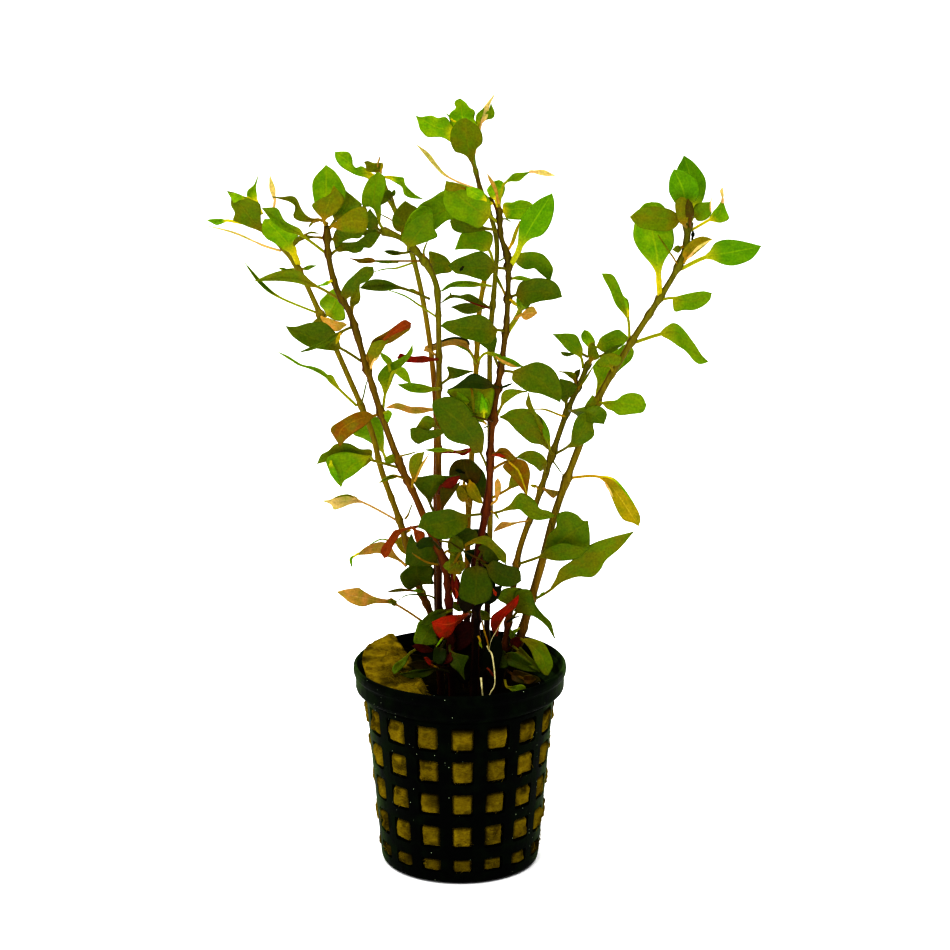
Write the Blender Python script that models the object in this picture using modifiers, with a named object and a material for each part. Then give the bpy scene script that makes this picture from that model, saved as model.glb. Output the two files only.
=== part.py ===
"""Potted marsh seedbox: nine leafy shoots planted in rock wool in a black net pot.

The origin is the middle of the pot's base, +Z is up and the pot's front faces -Y. Sizes are real ones, in
millimetres until they meet Blender. Shoots and leaves are placed where the photograph shows them: a place is a pixel
column and row of the photograph, with the depth in millimetres behind the pot's axis, which sight() turns into a point.
"""

import math
from collections import namedtuple

import bmesh
import bpy
from mathutils import Vector

MM = 0.001

# The photograph's view: the eye in millimetres, the tilt down, and the focal length and centre in pixels.
EYE = Vector((3.9, -823.0, 339.0))
TILT = math.radians(16.0)
FOCAL_PX = 3376.0
CENTRE_PX = 475.0

# Net pot
POT_COLUMNS = 16
POT_TURN = math.radians(1.9)
WINDOW_SHARE = 0.65
WALL = 1.2
BASE_RADIUS = 20.4
WALL_TOP_RADIUS = 24.4
WALL_TOP = 45.5
BAND_RADIUS = 26.9
BEAD_RADIUS = 27.5
BEAD_BOTTOM = 51.2
POT_HEIGHT = 53.0
WINDOW_TOP = 43.1
WINDOW_HEIGHT = 5.6
WINDOW_PITCH = 9.1
WINDOW_ROWS = 4
LOW_WINDOW = (3.3, 6.7)
HUB_RADIUS = 7.0
SLOT_END_RADIUS = 16.0

# Rock wool
WOOL_GAP = 0.6
WOOL_BOTTOM = 1.6
WOOL_TOP = 44.0
LUMP_TOP = 51.5
LUMP_BOTTOM = 47.1
LUMP_RADIUS = 24.9
LUMP_EDGE_BACK = (-14.0, 14.0)
LUMP_EDGE_FRONT = (-7.5, -22.0)
WOOL_SIDES = 32

# Shoots and leaves
PLANTED_DEPTH = 12.0
SOCKET_GAP = 0.4
LEAF_GAP = 0.35
LEAF_THICKNESS = 0.5
PETIOLE_WIDTH = 0.6
TIP_WIDTH = 0.3
ROOT_RADIUS = 0.35

Shoot = namedtuple("Shoot", "name radius tip_share colour route")
Leaf = namedtuple("Leaf", "shoot colour left right lean_left lean_right route")

YOUNG_GREEN = "young_green_leaf"
LEAF_GREEN = "green_leaf"
DARK_GREEN = "dark_green_leaf"
OLIVE = "olive_leaf"
ORANGE = "orange_leaf"
RED = "red_leaf"
OLIVE_STEM = "olive_stem"
DARK_STEM = "dark_stem"
ORANGE_STEM = "orange_stem"
COLOURS = {
    YOUNG_GREEN: (0.10, 0.30, 0.01),
    LEAF_GREEN: (0.07, 0.19, 0.01),
    DARK_GREEN: (0.05, 0.12, 0.005),
    OLIVE: (0.15, 0.17, 0.005),
    ORANGE: (0.60, 0.26, 0.06),
    RED: (0.35, 0.02, 0.01),
    OLIVE_STEM: (0.16, 0.13, 0.01),
    DARK_STEM: (0.06, 0.03, 0.008),
    ORANGE_STEM: (0.25, 0.14, 0.01),
}

SHOOTS = [
    Shoot("left_rear", 0.66, 0.7, OLIVE_STEM, (
        (443, 688, 5), (433, 622, 6), (418, 584, 7), (400, 522, 8), (382, 472, 9), (371, 430, 11), (349, 378, 13),
        (321, 316, 15), (296, 265, 17), (267, 232, 19), (252, 219, 20))),
    Shoot("left_front", 0.80, 0.75, DARK_STEM, (
        (452, 697, -3), (450, 630, -4), (446, 569, -5), (434, 541, -6), (415, 496, -7), (401, 467, -8),
        (382, 416, -10), (365, 362, -12), (351, 316, -13), (336, 287, -14), (328, 253, -14), (327, 226, -14))),
    Shoot("thin", 0.58, 0.75, OLIVE_STEM, (
        (440, 683, 8), (437, 600, 8), (436, 500, 7), (436, 420, 6), (432, 361, 6), (424, 306, 7), (413, 257, 8),
        (400, 222, 8), (390, 199, 9), (380, 176, 9))),
    Shoot("centre", 0.80, 0.7, OLIVE_STEM, (
        (441, 694, 0), (439, 598, 0), (439, 503, -1), (438, 426, -2), (439, 370, -2), (438, 303, -3),
        (435, 281, -3), (425, 262, -4), (412, 247, -4), (399, 237, -5), (380, 230, -5))),
    Shoot("rear_orange", 0.72, 0.7, ORANGE_STEM, (
        (466, 685, 7), (467, 620, 8), (468, 527, 12), (472, 450, 14), (476, 372, 16), (479, 315, 17),
        (484, 282, 18), (487, 262, 18))),
    Shoot("tall", 0.70, 0.7, OLIVE_STEM, (
        (486, 683, 9), (487, 620, 9), (490, 527, 8), (490, 430, 7), (490, 345, 6), (495, 280, 5), (497, 246, 4),
        (492, 220, 3), (482, 195, 3), (475, 168, 2), (470, 150, 2))),
    Shoot("dark_front", 0.98, 0.6, DARK_STEM, (
        (474, 700, -4), (476, 625, -5), (477, 564, -5), (487, 494, -6), (492, 440, -8), (495, 407, -9),
        (502, 361, -10), (507, 315, -12), (508, 262, -13), (501, 236, -13), (499, 208, -13))),
    Shoot("right_thin", 0.72, 0.7, DARK_STEM, (
        (497, 692, 2), (505, 645, 3), (513, 590, 4), (520, 548, 4), (538, 498, 5), (552, 455, 6), (567, 412, 7),
        (580, 383, 8), (590, 360, 9))),
    Shoot("right_thick", 1.16, 0.65, OLIVE_STEM, (
        (506, 688, 5), (523, 628, 4), (542, 562, 3), (556, 510, 1), (577, 452, -1), (598, 399, -3), (627, 349, -5),
        (661, 296, -7), (678, 267, -8), (686, 245, -8), (688, 220, -9))),
]


def leaf(shoot, colour, width, lean, *route):
    """A leaf of that width and lean; each is one number for both halves or a pair for the left and right half."""
    left, right = width if isinstance(width, tuple) else (width / 2, width / 2)
    lean_left, lean_right = lean if isinstance(lean, tuple) else (lean, -lean)
    return Leaf(shoot, colour, left, right, lean_left, lean_right, route)


# A leaf's route is its base on the stem, the start of its blade, the middle and the tip. Its depths are counted from
# the stem. A lean turns half the blade out of the picture plane, with its margin towards the viewer when it is positive.
LARGE_LEAVES = [
    leaf("left_rear", LEAF_GREEN, 7.5, 10, (262, 232, 0), (257, 226, -1), (246, 211, -3), (227, 191, -4)),
    leaf("left_rear", YOUNG_GREEN, 7.0, (15, -5), (297, 266, 0), (294, 256, -2), (283, 239, -4), (263, 218, -6)),
    leaf("left_rear", LEAF_GREEN, 6.5, 0, (322, 316, 0), (327, 312, 2), (334, 304, 5), (334, 288, 8)),
    leaf("left_rear", LEAF_GREEN, 7.5, 0, (384, 459, 0), (381, 449, 2), (373, 431, 5), (363, 412, 7)),
    leaf("left_rear", ORANGE, 5.0, 50, (398, 521, 0), (361, 501, -2), (343, 501, -4), (323, 501, -5)),
    leaf("left_rear", ORANGE, 5.0, 30, (433, 627, 0), (386, 600, -4), (358, 598, -7), (337, 592, -8)),
    leaf("left_front", DARK_GREEN, 5.5, 45, (327, 256, 0), (304, 237, -1), (285, 225, -2), (261, 208, -3)),
    leaf("left_front", YOUNG_GREEN, 8.2, 0, (327, 226, 0), (329, 213, 2), (329, 190, 3), (326, 165, 2)),
    leaf("left_front", LEAF_GREEN, 6.0, 52, (341, 300, 0), (311, 286, 2), (290, 278, 4), (255, 280, 5)),
    leaf("left_front", DARK_GREEN, 5.0, 20, (345, 301, 0), (342, 291, -2), (356, 277, -4), (374, 267, -5)),
    leaf("left_front", DARK_GREEN, 7.0, 25, (361, 361, 0), (339, 346, -3), (315, 335, -5), (286, 326, -6)),
    leaf("left_front", RED, 4.6, (30, -10), (366, 363, 0), (368, 354, -2), (381, 340, -4), (411, 323, -6)),
    leaf("left_front", ORANGE, 5.5, (45, -20), (380, 413, 0), (371, 415, -2), (350, 422, -5), (339, 446, -5)),
    leaf("left_front", LEAF_GREEN, (6.2, 3.2), 5, (400, 467, 0), (373, 457, -3), (345, 458, -5), (317, 463, -6)),
    leaf("thin", OLIVE, 5.8, 0, (403, 232, 0), (402, 228, -1), (401, 217, -2), (405, 201, -3)),
    leaf("centre", LEAF_GREEN, 5.6, 0, (380, 230, 0), (378, 212, -1), (373, 194, -2), (376, 173, -1)),
    leaf("centre", DARK_GREEN, 7.5, 10, (412, 248, 0), (412, 243, -2), (417, 230, -4), (425, 213, -5)),
    leaf("centre", DARK_GREEN, 5.0, 55, (438, 303, 0), (403, 289, 2), (382, 285, 3), (359, 288, 4)),
    leaf("centre", DARK_GREEN, 6.5, 20, (439, 565, 0), (434, 563, -2), (419, 556, -5), (410, 534, -7)),
    leaf("rear_orange", OLIVE, 8.5, 20, (470, 489, 0), (470, 482, -7), (467, 471, -9), (462, 459, -8)),
    leaf("tall", YOUNG_GREEN, 5.5, 10, (471, 156, 0), (455, 136, 2), (437, 127, 3), (416, 116, 4)),
    leaf("tall", LEAF_GREEN, 7.8, 5, (475, 170, 0), (472, 157, -2), (467, 139, -4), (466, 118, -5)),
    leaf("dark_front", LEAF_GREEN, 9.0, 10, (499, 223, 0), (489, 214, -2), (469, 204, -4), (446, 182, -4)),
    leaf("dark_front", YOUNG_GREEN, 6.8, 0, (508, 262, 0), (518, 248, -1), (533, 222, -2), (552, 194, -1)),
    leaf("dark_front", DARK_GREEN, 6.6, 10, (508, 269, 0), (492, 268, -3), (472, 265, -6), (449, 267, -8)),
    leaf("dark_front", DARK_GREEN, 5.0, 35, (508, 258, 0), (518, 257, 3), (539, 260, 6), (551, 279, 7)),
    leaf("dark_front", DARK_GREEN, 6.4, 15, (508, 298, 0), (520, 293, 2), (540, 291, 4), (563, 298, 5)),
    leaf("dark_front", DARK_GREEN, 7.4, 10, (505, 331, 0), (496, 329, -3), (470, 325, -6), (441, 327, -8)),
    leaf("dark_front", DARK_GREEN, 7.6, 10, (501, 370, 0), (515, 371, -3), (537, 381, -5), (560, 401, -6)),
    leaf("dark_front", DARK_GREEN, 9.0, 0, (489, 467, 0), (480, 447, -4), (461, 424, -7), (434, 400, -8)),
    leaf("dark_front", DARK_GREEN, 7.4, 10, (484, 515, 0), (468, 516, -4), (445, 523, -7), (420, 525, -9)),
    leaf("dark_front", DARK_GREEN, 5.5, 20, (485, 513, 0), (507, 509, -2), (531, 506, -4), (558, 519, -5)),
    leaf("dark_front", ORANGE, 6.4, (10, -20), (490, 471, 0), (506, 465, -3), (518, 474, -5), (526, 494, -6)),
    leaf("tall", RED, (2.8, 1.5), (20, 40), (487, 655, 0), (496, 633, -8), (502, 614, -12), (520, 595, -14)),
    leaf("right_thin", DARK_GREEN, 7.4, 5, (552, 454, 0), (545, 443, -3), (526, 425, -6), (500, 417, -8)),
    leaf("right_thin", DARK_GREEN, 5.4, 0, (552, 455, 0), (568, 446, -8), (581, 432, -13), (583, 414, -13)),
    leaf("right_thin", DARK_GREEN, 8.5, 10, (518, 564, 0), (541, 556, -4), (564, 541, -7), (588, 521, -8)),
    leaf("right_thin", DARK_GREEN, 6.5, 10, (508, 624, 0), (514, 607, -4), (528, 600, -6), (554, 637, -6)),
    leaf("right_thick", LEAF_GREEN, 7.0, 0, (688, 220, 0), (690, 203, 3), (693, 182, 5), (684, 156, 4)),
    leaf("right_thick", DARK_GREEN, 7.2, 5, (688, 224, 0), (676, 219, -2), (655, 217, -5), (630, 217, -6)),
    leaf("right_thick", YOUNG_GREEN, 9.4, 0, (660, 298, 0), (659, 272, -1), (654, 248, -2), (652, 222, -1)),
    leaf("right_thick", YOUNG_GREEN, 6.4, 0, (679, 267, 0), (709, 256, -1), (733, 252, -2), (761, 245, -1)),
    leaf("right_thick", LEAF_GREEN, 4.6, 15, (659, 300, 0), (674, 298, -2), (692, 300, -3), (712, 293, -4)),
    leaf("right_thick", LEAF_GREEN, 4.0, 30, (631, 343, 0), (628, 318, 2), (617, 296, 3), (602, 274, 4)),
    leaf("right_thick", LEAF_GREEN, 4.4, 30, (632, 343, 0), (660, 333, -2), (679, 334, -4), (707, 362, -5)),
    leaf("right_thick", LEAF_GREEN, 5.6, 0, (598, 401, 0), (612, 404, -2), (630, 403, -4), (647, 405, -5)),
    leaf("right_thick", ORANGE, 5.2, 20, (569, 477, 0), (602, 478, -3), (619, 500, -4), (639, 524, -5)),
    leaf("right_thick", OLIVE, 6.6, 10, (532, 600, 0), (553, 585, -2), (590, 562, -5), (634, 532, -7)),
]

SMALL_LEAVES = [
    leaf("left_rear", YOUNG_GREEN, 3.0, 60, (254, 220, 0), (223, 221, 2), (215, 221, 3), (207, 220, 3)),
    leaf("left_rear", YOUNG_GREEN, 3.4, 40, (258, 224, 0), (255, 203, 3), (252, 190, 4), (258, 176, 4)),
    leaf("left_rear", ORANGE, 3.0, 65, (268, 233, 0), (276, 209, 4), (271, 190, 5), (270, 176, 5)),
    leaf("left_rear", LEAF_GREEN, 3.4, 65, (320, 314, 0), (281, 298, 3), (262, 284, 5), (245, 263, 6)),
    leaf("left_rear", LEAF_GREEN, 3.0, 65, (299, 271, 0), (303, 269, 3), (309, 266, 5), (317, 264, 7)),
    leaf("left_rear", LEAF_GREEN, 3.0, 65, (299, 271, 0), (296, 270, 3), (288, 269, 6), (279, 268, 8)),
    leaf("left_rear", ORANGE, 3.6, 50, (321, 316, 0), (325, 318, -3), (335, 324, -5), (347, 325, -6)),
    leaf("left_rear", YOUNG_GREEN, 3.0, 60, (359, 402, 0), (336, 386, 2), (320, 371, 4), (279, 352, 5)),
    leaf("left_rear", ORANGE, 3.6, 55, (413, 567, 0), (387, 549, 3), (368, 549, 4), (352, 566, 4)),
    leaf("left_rear", DARK_GREEN, 8.0, 0, (421, 593, 0), (421, 586, -3), (417, 575, -6), (415, 563, -9)),
    leaf("left_rear", OLIVE, 4.2, 30, (401, 527, 0), (404, 534, 2), (401, 545, 4), (405, 556, 5)),
    leaf("left_front", ORANGE, 3.0, 60, (327, 240, 0), (318, 236, 1), (305, 235, 2), (293, 247, 2)),
    leaf("left_front", DARK_GREEN, 3.0, 60, (327, 228, 0), (307, 219, 1), (297, 205, 2), (273, 197, 2)),
    leaf("left_front", OLIVE, 5.4, 5, (327, 230, 0), (325, 217, -3), (327, 204, -4), (334, 186, -4)),
    leaf("left_front", DARK_GREEN, 5.0, 20, (328, 255, 0), (338, 252, 3), (355, 244, 6), (378, 236, 8)),
    leaf("left_front", OLIVE, 5.6, 5, (327, 231, 0), (335, 224, -2), (350, 219, -5), (368, 218, -6)),
    leaf("left_front", LEAF_GREEN, 4.0, 20, (327, 228, 0), (338, 213, 4), (345, 203, 6), (349, 191, 7)),
    leaf("left_front", DARK_GREEN, 2.4, 60, (354, 328, 0), (336, 333, -5), (318, 344, -8), (300, 352, -9)),
    leaf("left_front", OLIVE, 3.2, 20, (354, 327, 0), (353, 308, 3), (355, 296, 4), (357, 282, 5)),
    leaf("left_front", LEAF_GREEN, 4.0, 0, (380, 411, 0), (385, 393, 3), (384, 378, 5), (381, 355, 6)),
    leaf("left_front", LEAF_GREEN, 3.6, 10, (380, 412, 0), (387, 392, 1), (397, 372, 0), (411, 384, -1)),
    leaf("left_front", RED, 3.0, 50, (427, 525, 0), (404, 527, -3), (391, 538, -5), (384, 559, -6)),
    leaf("left_front", OLIVE, 2.4, 50, (406, 478, 0), (394, 475, -3), (387, 478, -5), (379, 483, -6)),
    leaf("left_rear", DARK_GREEN, 3.0, 20, (436, 640, 0), (414, 648, -9), (404, 658, -12), (393, 669, -15)),
    leaf("left_front", DARK_GREEN, 4.6, 20, (451, 640, 0), (450, 655, -2), (457, 670, -4), (465, 681, -5)),
    leaf("left_front", OLIVE, 4.4, (45, -20), (446, 571, 0), (466, 545, -5), (487, 541, -6), (505, 562, -6)),
    leaf("thin", LEAF_GREEN, 4.0, 20, (381, 178, 0), (368, 174, 0), (352, 167, 0), (335, 152, 1)),
    leaf("thin", YOUNG_GREEN, 3.0, 0, (380, 177, 0), (376, 170, -1), (371, 165, -2), (365, 162, -2)),
    leaf("thin", YOUNG_GREEN, 3.4, 35, (381, 178, 0), (393, 178, -1), (406, 187, -1), (423, 199, 0)),
    leaf("centre", DARK_GREEN, 3.0, 0, (382, 231, 0), (377, 228, -3), (373, 219, -5), (370, 209, -6)),
    leaf("centre", ORANGE, 2.6, 65, (424, 261, 0), (398, 262, -2), (376, 262, -4), (350, 259, -5)),
    leaf("centre", OLIVE, 5.0, 20, (429, 269, 0), (431, 262, 4), (441, 262, 7), (452, 266, 9)),
    leaf("centre", RED, 3.0, 60, (439, 359, 0), (430, 358, -2), (414, 359, -4), (397, 357, -6)),
    leaf("centre", DARK_GREEN, 4.6, 60, (439, 388, 0), (432, 388, -3), (415, 387, -5), (397, 384, -7)),
    leaf("centre", ORANGE, 3.0, 60, (438, 409, 0), (428, 409, 3), (411, 410, 6), (386, 407, 8)),
    leaf("centre", DARK_GREEN, 4.4, 10, (438, 432, 0), (433, 432, -3), (422, 435, -5), (409, 431, -6)),
    leaf("centre", DARK_GREEN, 3.4, 60, (438, 450, 0), (434, 448, -2), (425, 449, -4), (414, 454, -6)),
    leaf("centre", RED, 3.0, 65, (439, 453, 0), (446, 452, 2), (458, 451, 4), (471, 449, 6)),
    leaf("centre", DARK_GREEN, 5.0, 0, (439, 520, 0), (432, 505, -2), (425, 489, -4), (414, 477, -6)),
    leaf("centre", OLIVE, 4.6, 0, (439, 518, 0), (438, 505, -2), (446, 489, -4), (458, 475, -6)),
    leaf("centre", OLIVE, 6.4, 0, (439, 616, 0), (436, 619, -3), (427, 631, -6), (415, 643, -8)),
    leaf("rear_orange", DARK_GREEN, 4.0, 65, (483, 287, 0), (476, 284, -2), (459, 284, -4), (440, 292, -5)),
    leaf("rear_orange", DARK_GREEN, 3.4, 50, (479, 311, 0), (476, 309, -3), (464, 308, -5), (451, 307, -7)),
    leaf("rear_orange", ORANGE, 3.2, 50, (477, 359, 0), (466, 344, -3), (448, 341, -5), (426, 349, -6)),
    leaf("rear_orange", RED, 3.6, 20, (470, 487, 0), (463, 480, -4), (452, 487, -6), (443, 508, -7)),
    leaf("rear_orange", RED, 4.6, 10, (467, 616, 0), (463, 617, -10), (450, 624, -16), (433, 628, -17)),
    leaf("tall", YOUNG_GREEN, 6.2, 0, (473, 163, 0), (468, 142, 2), (464, 121, 4), (460, 99, 4)),
    leaf("tall", ORANGE, 2.4, 40, (474, 164, 0), (479, 126, 4), (486, 111, 5), (494, 95, 5)),
    leaf("tall", DARK_GREEN, 3.4, 60, (492, 309, 0), (485, 304, -3), (467, 296, -6), (449, 294, -8)),
    leaf("tall", LEAF_GREEN, 6.0, 5, (487, 208, 0), (471, 203, -1), (440, 210, -3), (408, 226, -3)),
    leaf("dark_front", YOUNG_GREEN, 4.4, 0, (499, 210, 0), (497, 199, 2), (498, 190, 4), (498, 180, 5)),
    leaf("dark_front", YOUNG_GREEN, 2.4, 50, (499, 212, 0), (506, 183, 3), (524, 173, 4), (555, 175, 4)),
    leaf("dark_front", LEAF_GREEN, 4.4, 0, (499, 217, 0), (507, 213, 2), (517, 210, 4), (532, 205, 6)),
    leaf("dark_front", LEAF_GREEN, 5.2, 10, (502, 240, 0), (490, 241, 1), (474, 242, 2), (455, 249, 2)),
    leaf("dark_front", DARK_GREEN, 5.0, (60, -30), (497, 390, 0), (490, 387, -3), (470, 382, -5), (441, 392, -6)),
    leaf("dark_front", LEAF_GREEN, 6.0, 0, (497, 393, 0), (487, 392, 3), (479, 402, 5), (484, 419, 6)),
    leaf("dark_front", DARK_GREEN, 3.0, 20, (494, 419, 0), (501, 407, -2), (512, 396, -3), (530, 391, -4)),
    leaf("dark_front", LEAF_GREEN, 4.0, 20, (505, 332, 0), (517, 315, 3), (527, 303, 6), (545, 292, 8)),
    leaf("dark_front", DARK_GREEN, 8.0, 0, (477, 563, 0), (476, 570, -3), (477, 585, -5), (475, 600, -6)),
    leaf("right_thin", LEAF_GREEN, 4.4, 0, (587, 367, 0), (581, 356, -1), (570, 343, -2), (552, 333, -3)),
    leaf("right_thin", YOUNG_GREEN, 2.8, 0, (591, 360, 0), (591, 350, 1), (589, 341, 2), (584, 330, 2)),
    leaf("right_thin", LEAF_GREEN, 3.6, 0, (590, 361, 0), (598, 348, 1), (611, 340, 2), (627, 337, 3)),
    leaf("right_thin", DARK_GREEN, 4.0, 0, (568, 410, 0), (565, 402, -1), (565, 391, -2), (563, 380, -3)),
    leaf("right_thin", DARK_GREEN, 4.0, 20, (567, 412, 0), (577, 404, -9), (591, 411, -17), (604, 424, -18)),
    leaf("right_thin", DARK_GREEN, 3.4, 35, (545, 479, 0), (543, 466, -2), (532, 457, -4), (515, 458, -5)),
    leaf("right_thin", DARK_GREEN, 5.5, 20, (504, 650, 0), (509, 652, -3), (523, 660, -5), (540, 670, -6)),
    leaf("right_thin", ORANGE, 2.0, 40, (529, 524, 0), (515, 523, -3), (503, 525, -5), (494, 532, -6)),
    leaf("right_thick", LEAF_GREEN, 6.0, 0, (688, 221, 0), (685, 203, -3), (683, 188, -4), (674, 169, -3)),
    leaf("right_thick", YOUNG_GREEN, 3.0, 0, (688, 223, 0), (695, 214, -1), (703, 211, -2), (711, 203, -2)),
    leaf("right_thick", YOUNG_GREEN, 3.0, 30, (687, 232, 0), (708, 219, 2), (718, 215, 3), (722, 189, 3)),
    leaf("right_thick", ORANGE, 3.6, 20, (682, 258, 0), (687, 253, -3), (695, 244, -5), (712, 238, -6)),
    leaf("right_thick", LEAF_GREEN, 5.6, 0, (598, 400, 0), (601, 384, -3), (610, 367, -5), (630, 348, -6)),
    leaf("right_thick", OLIVE, 5.0, 35, (518, 646, 0), (529, 643, -4), (543, 653, -7), (549, 675, -9)),
]

# Places along a blade and its width there, as shares
LARGE_BLADE = ((0.0, 0.0), (0.3, 1.0), (0.68, 0.88), (1.0, 0.0))
SMALL_BLADE = ((0.0, 0.0), (0.45, 1.05), (1.0, 0.0))

ROOT_ROUTE = ((486, 644, -8), (491, 655, -9), (496, 679, -12), (493, 695, -13), (492, 709, -13))


def sight(column, row, depth):
    """The point on a pixel's line of sight at that depth in millimetres behind the pot's axis, in metres."""
    across = (column - CENTRE_PX) / FOCAL_PX
    up = (CENTRE_PX - row) / FOCAL_PX
    ray = Vector((across, math.cos(TILT) + up * math.sin(TILT), up * math.cos(TILT) - math.sin(TILT)))
    return (EYE + ray * ((depth - EYE.y) / ray.y)) * MM


def spline_point(points, position):
    """A point on the smooth curve through the points, where whole positions are the points themselves."""
    start = min(int(position), len(points) - 2)
    share = position - start
    before = points[max(start - 1, 0)]
    after = points[min(start + 2, len(points) - 1)]
    here, there = points[start], points[start + 1]
    slope_here = (there - before) / 2
    slope_there = (after - here) / 2
    return (
        here * (2 * share**3 - 3 * share**2 + 1)
        + there * (3 * share**2 - 2 * share**3)
        + slope_here * (share**3 - 2 * share**2 + share)
        + slope_there * (share**3 - share**2)
    )


def stem_depth(shoot, row):
    """A stem's depth in millimetres where it crosses a pixel row."""
    for low, high in zip(shoot.route, shoot.route[1:]):
        if high[1] <= row <= low[1]:
            return low[2] + (high[2] - low[2]) * (low[1] - row) / (low[1] - high[1])
    return shoot.route[-1][2]


def colour_material(name, colour, roughness):
    """A Principled material of one colour."""
    made = bpy.data.materials.new(name)
    made.use_nodes = True
    shader = made.node_tree.nodes["Principled BSDF"]
    shader.inputs["Base Color"].default_value = (*colour, 1.0)
    shader.inputs["Roughness"].default_value = roughness
    shader.inputs["Metallic"].default_value = 0.0
    return made


def add_object(name, mesh, collection, material=None):
    """An object for that mesh in that collection."""
    made = bpy.data.objects.new(name, mesh)
    collection.objects.link(made)
    if material is not None:
        mesh.materials.clear()
        mesh.materials.append(material)
    return made


def mark_cutter(cutter):
    """Shows a cutter or a joined piece as wires only, and leaves it out of renders."""
    cutter.hide_render = True
    cutter.display_type = "WIRE"


def add_boolean(piece, operand, operation):
    """A Boolean modifier with the exact solver."""
    made = piece.modifiers.new(operand.name, "BOOLEAN")
    made.operation = operation
    made.solver = "EXACT"
    made.object = operand
    return made


def ring_radius(height):
    """The net wall's outer radius at a height, in millimetres."""
    return BASE_RADIUS + (WALL_TOP_RADIUS - BASE_RADIUS) * height / WALL_TOP


def window_rows():
    """Bottom and top heights of the five rows of windows, from the lowest."""
    rows = [LOW_WINDOW]
    for row in reversed(range(WINDOW_ROWS)):
        top = WINDOW_TOP - row * WINDOW_PITCH
        rows.append((top - WINDOW_HEIGHT, top))
    return rows


def pot_profile():
    """Radius and height of each ring of the pot's outer skin, from the floor's middle to the rim."""
    profile = [(0.0, 0.0), (HUB_RADIUS, 0.0), (SLOT_END_RADIUS, 0.0), (BASE_RADIUS, 0.0)]
    for low, high in window_rows():
        profile += [(ring_radius(low), low), (ring_radius(high), high)]
    profile += [(WALL_TOP_RADIUS, WALL_TOP), (BAND_RADIUS, WALL_TOP), (BAND_RADIUS, BEAD_BOTTOM - 0.6)]
    profile += [(BEAD_RADIUS, BEAD_BOTTOM), (BEAD_RADIUS, POT_HEIGHT)]
    return profile


def is_opening(centre, column_angle):
    """Whether a face of the pot's skin is a window or a floor slot."""
    turn = (math.atan2(centre.y, centre.x) + math.pi / 2 - POT_TURN) / column_angle
    if abs(turn - round(turn)) > WINDOW_SHARE / 2:
        return False
    radius = math.hypot(centre.x, centre.y) / MM
    height = centre.z / MM
    if height < 0.1:
        return HUB_RADIUS < radius < SLOT_END_RADIUS
    return any(low < height < high for low, high in window_rows())


def make_net_pot(collection):
    """The pot: one turned skin with its windows and slots cut out, made 1.2 mm thick inwards."""
    column_angle = 2 * math.pi / POT_COLUMNS
    skin = bmesh.new()
    profile = [skin.verts.new((radius * MM, 0, height * MM)) for radius, height in pot_profile()]
    edges = [skin.edges.new(pair) for pair in zip(profile, profile[1:])]
    bmesh.ops.spin(
        skin, geom=profile + edges, axis=(0, 0, 1), cent=(0, 0, 0), angle=2 * math.pi, steps=2 * POT_COLUMNS
    )
    bmesh.ops.remove_doubles(skin, verts=skin.verts, dist=0.00001)
    for vert in skin.verts:
        radius = math.hypot(vert.co.x, vert.co.y)
        if radius < MM:
            continue
        meridian = round(math.atan2(vert.co.y, vert.co.x) / (column_angle / 2))
        side = WINDOW_SHARE / 2 if meridian % 2 == 0 else 1 - WINDOW_SHARE / 2
        angle = (meridian // 2 + side) * column_angle - math.pi / 2 + POT_TURN
        vert.co.x = radius * math.cos(angle)
        vert.co.y = radius * math.sin(angle)
    openings = [face for face in skin.faces if is_opening(face.calc_center_median(), column_angle)]
    bmesh.ops.delete(skin, geom=openings, context="FACES")
    bmesh.ops.recalc_face_normals(skin, faces=skin.faces)
    wall_face = max(skin.faces, key=lambda face: face.calc_center_median().z)
    if wall_face.normal.dot(wall_face.calc_center_median().to_2d().to_3d()) < 0:
        bmesh.ops.reverse_faces(skin, faces=skin.faces)
    mesh = bpy.data.meshes.new("net_pot")
    skin.to_mesh(mesh)
    skin.free()
    pot = add_object("net_pot", mesh, collection, colour_material("black_plastic", (0.01, 0.012, 0.01), 0.5))
    wall = pot.modifiers.new("wall", "SOLIDIFY")
    wall.thickness = WALL * MM
    wall.offset = -1.0
    wall.use_even_offset = True
    return pot


def turned_solid(name, profile, sides, collection):
    """A closed solid turned from radius and height pairs, which run from the axis at the bottom to the axis at the top."""
    shape = bmesh.new()
    verts = [shape.verts.new((radius * MM, 0, height * MM)) for radius, height in profile]
    edges = [shape.edges.new(pair) for pair in zip(verts, verts[1:])]
    bmesh.ops.spin(shape, geom=verts + edges, axis=(0, 0, 1), cent=(0, 0, 0), angle=2 * math.pi, steps=sides)
    bmesh.ops.remove_doubles(shape, verts=shape.verts, dist=0.00001)
    bmesh.ops.dissolve_limit(shape, angle_limit=0.001, verts=shape.verts, edges=shape.edges)
    bmesh.ops.recalc_face_normals(shape, faces=shape.faces)
    mesh = bpy.data.meshes.new(name)
    shape.to_mesh(mesh)
    shape.free()
    return add_object(name, mesh, collection)


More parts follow.
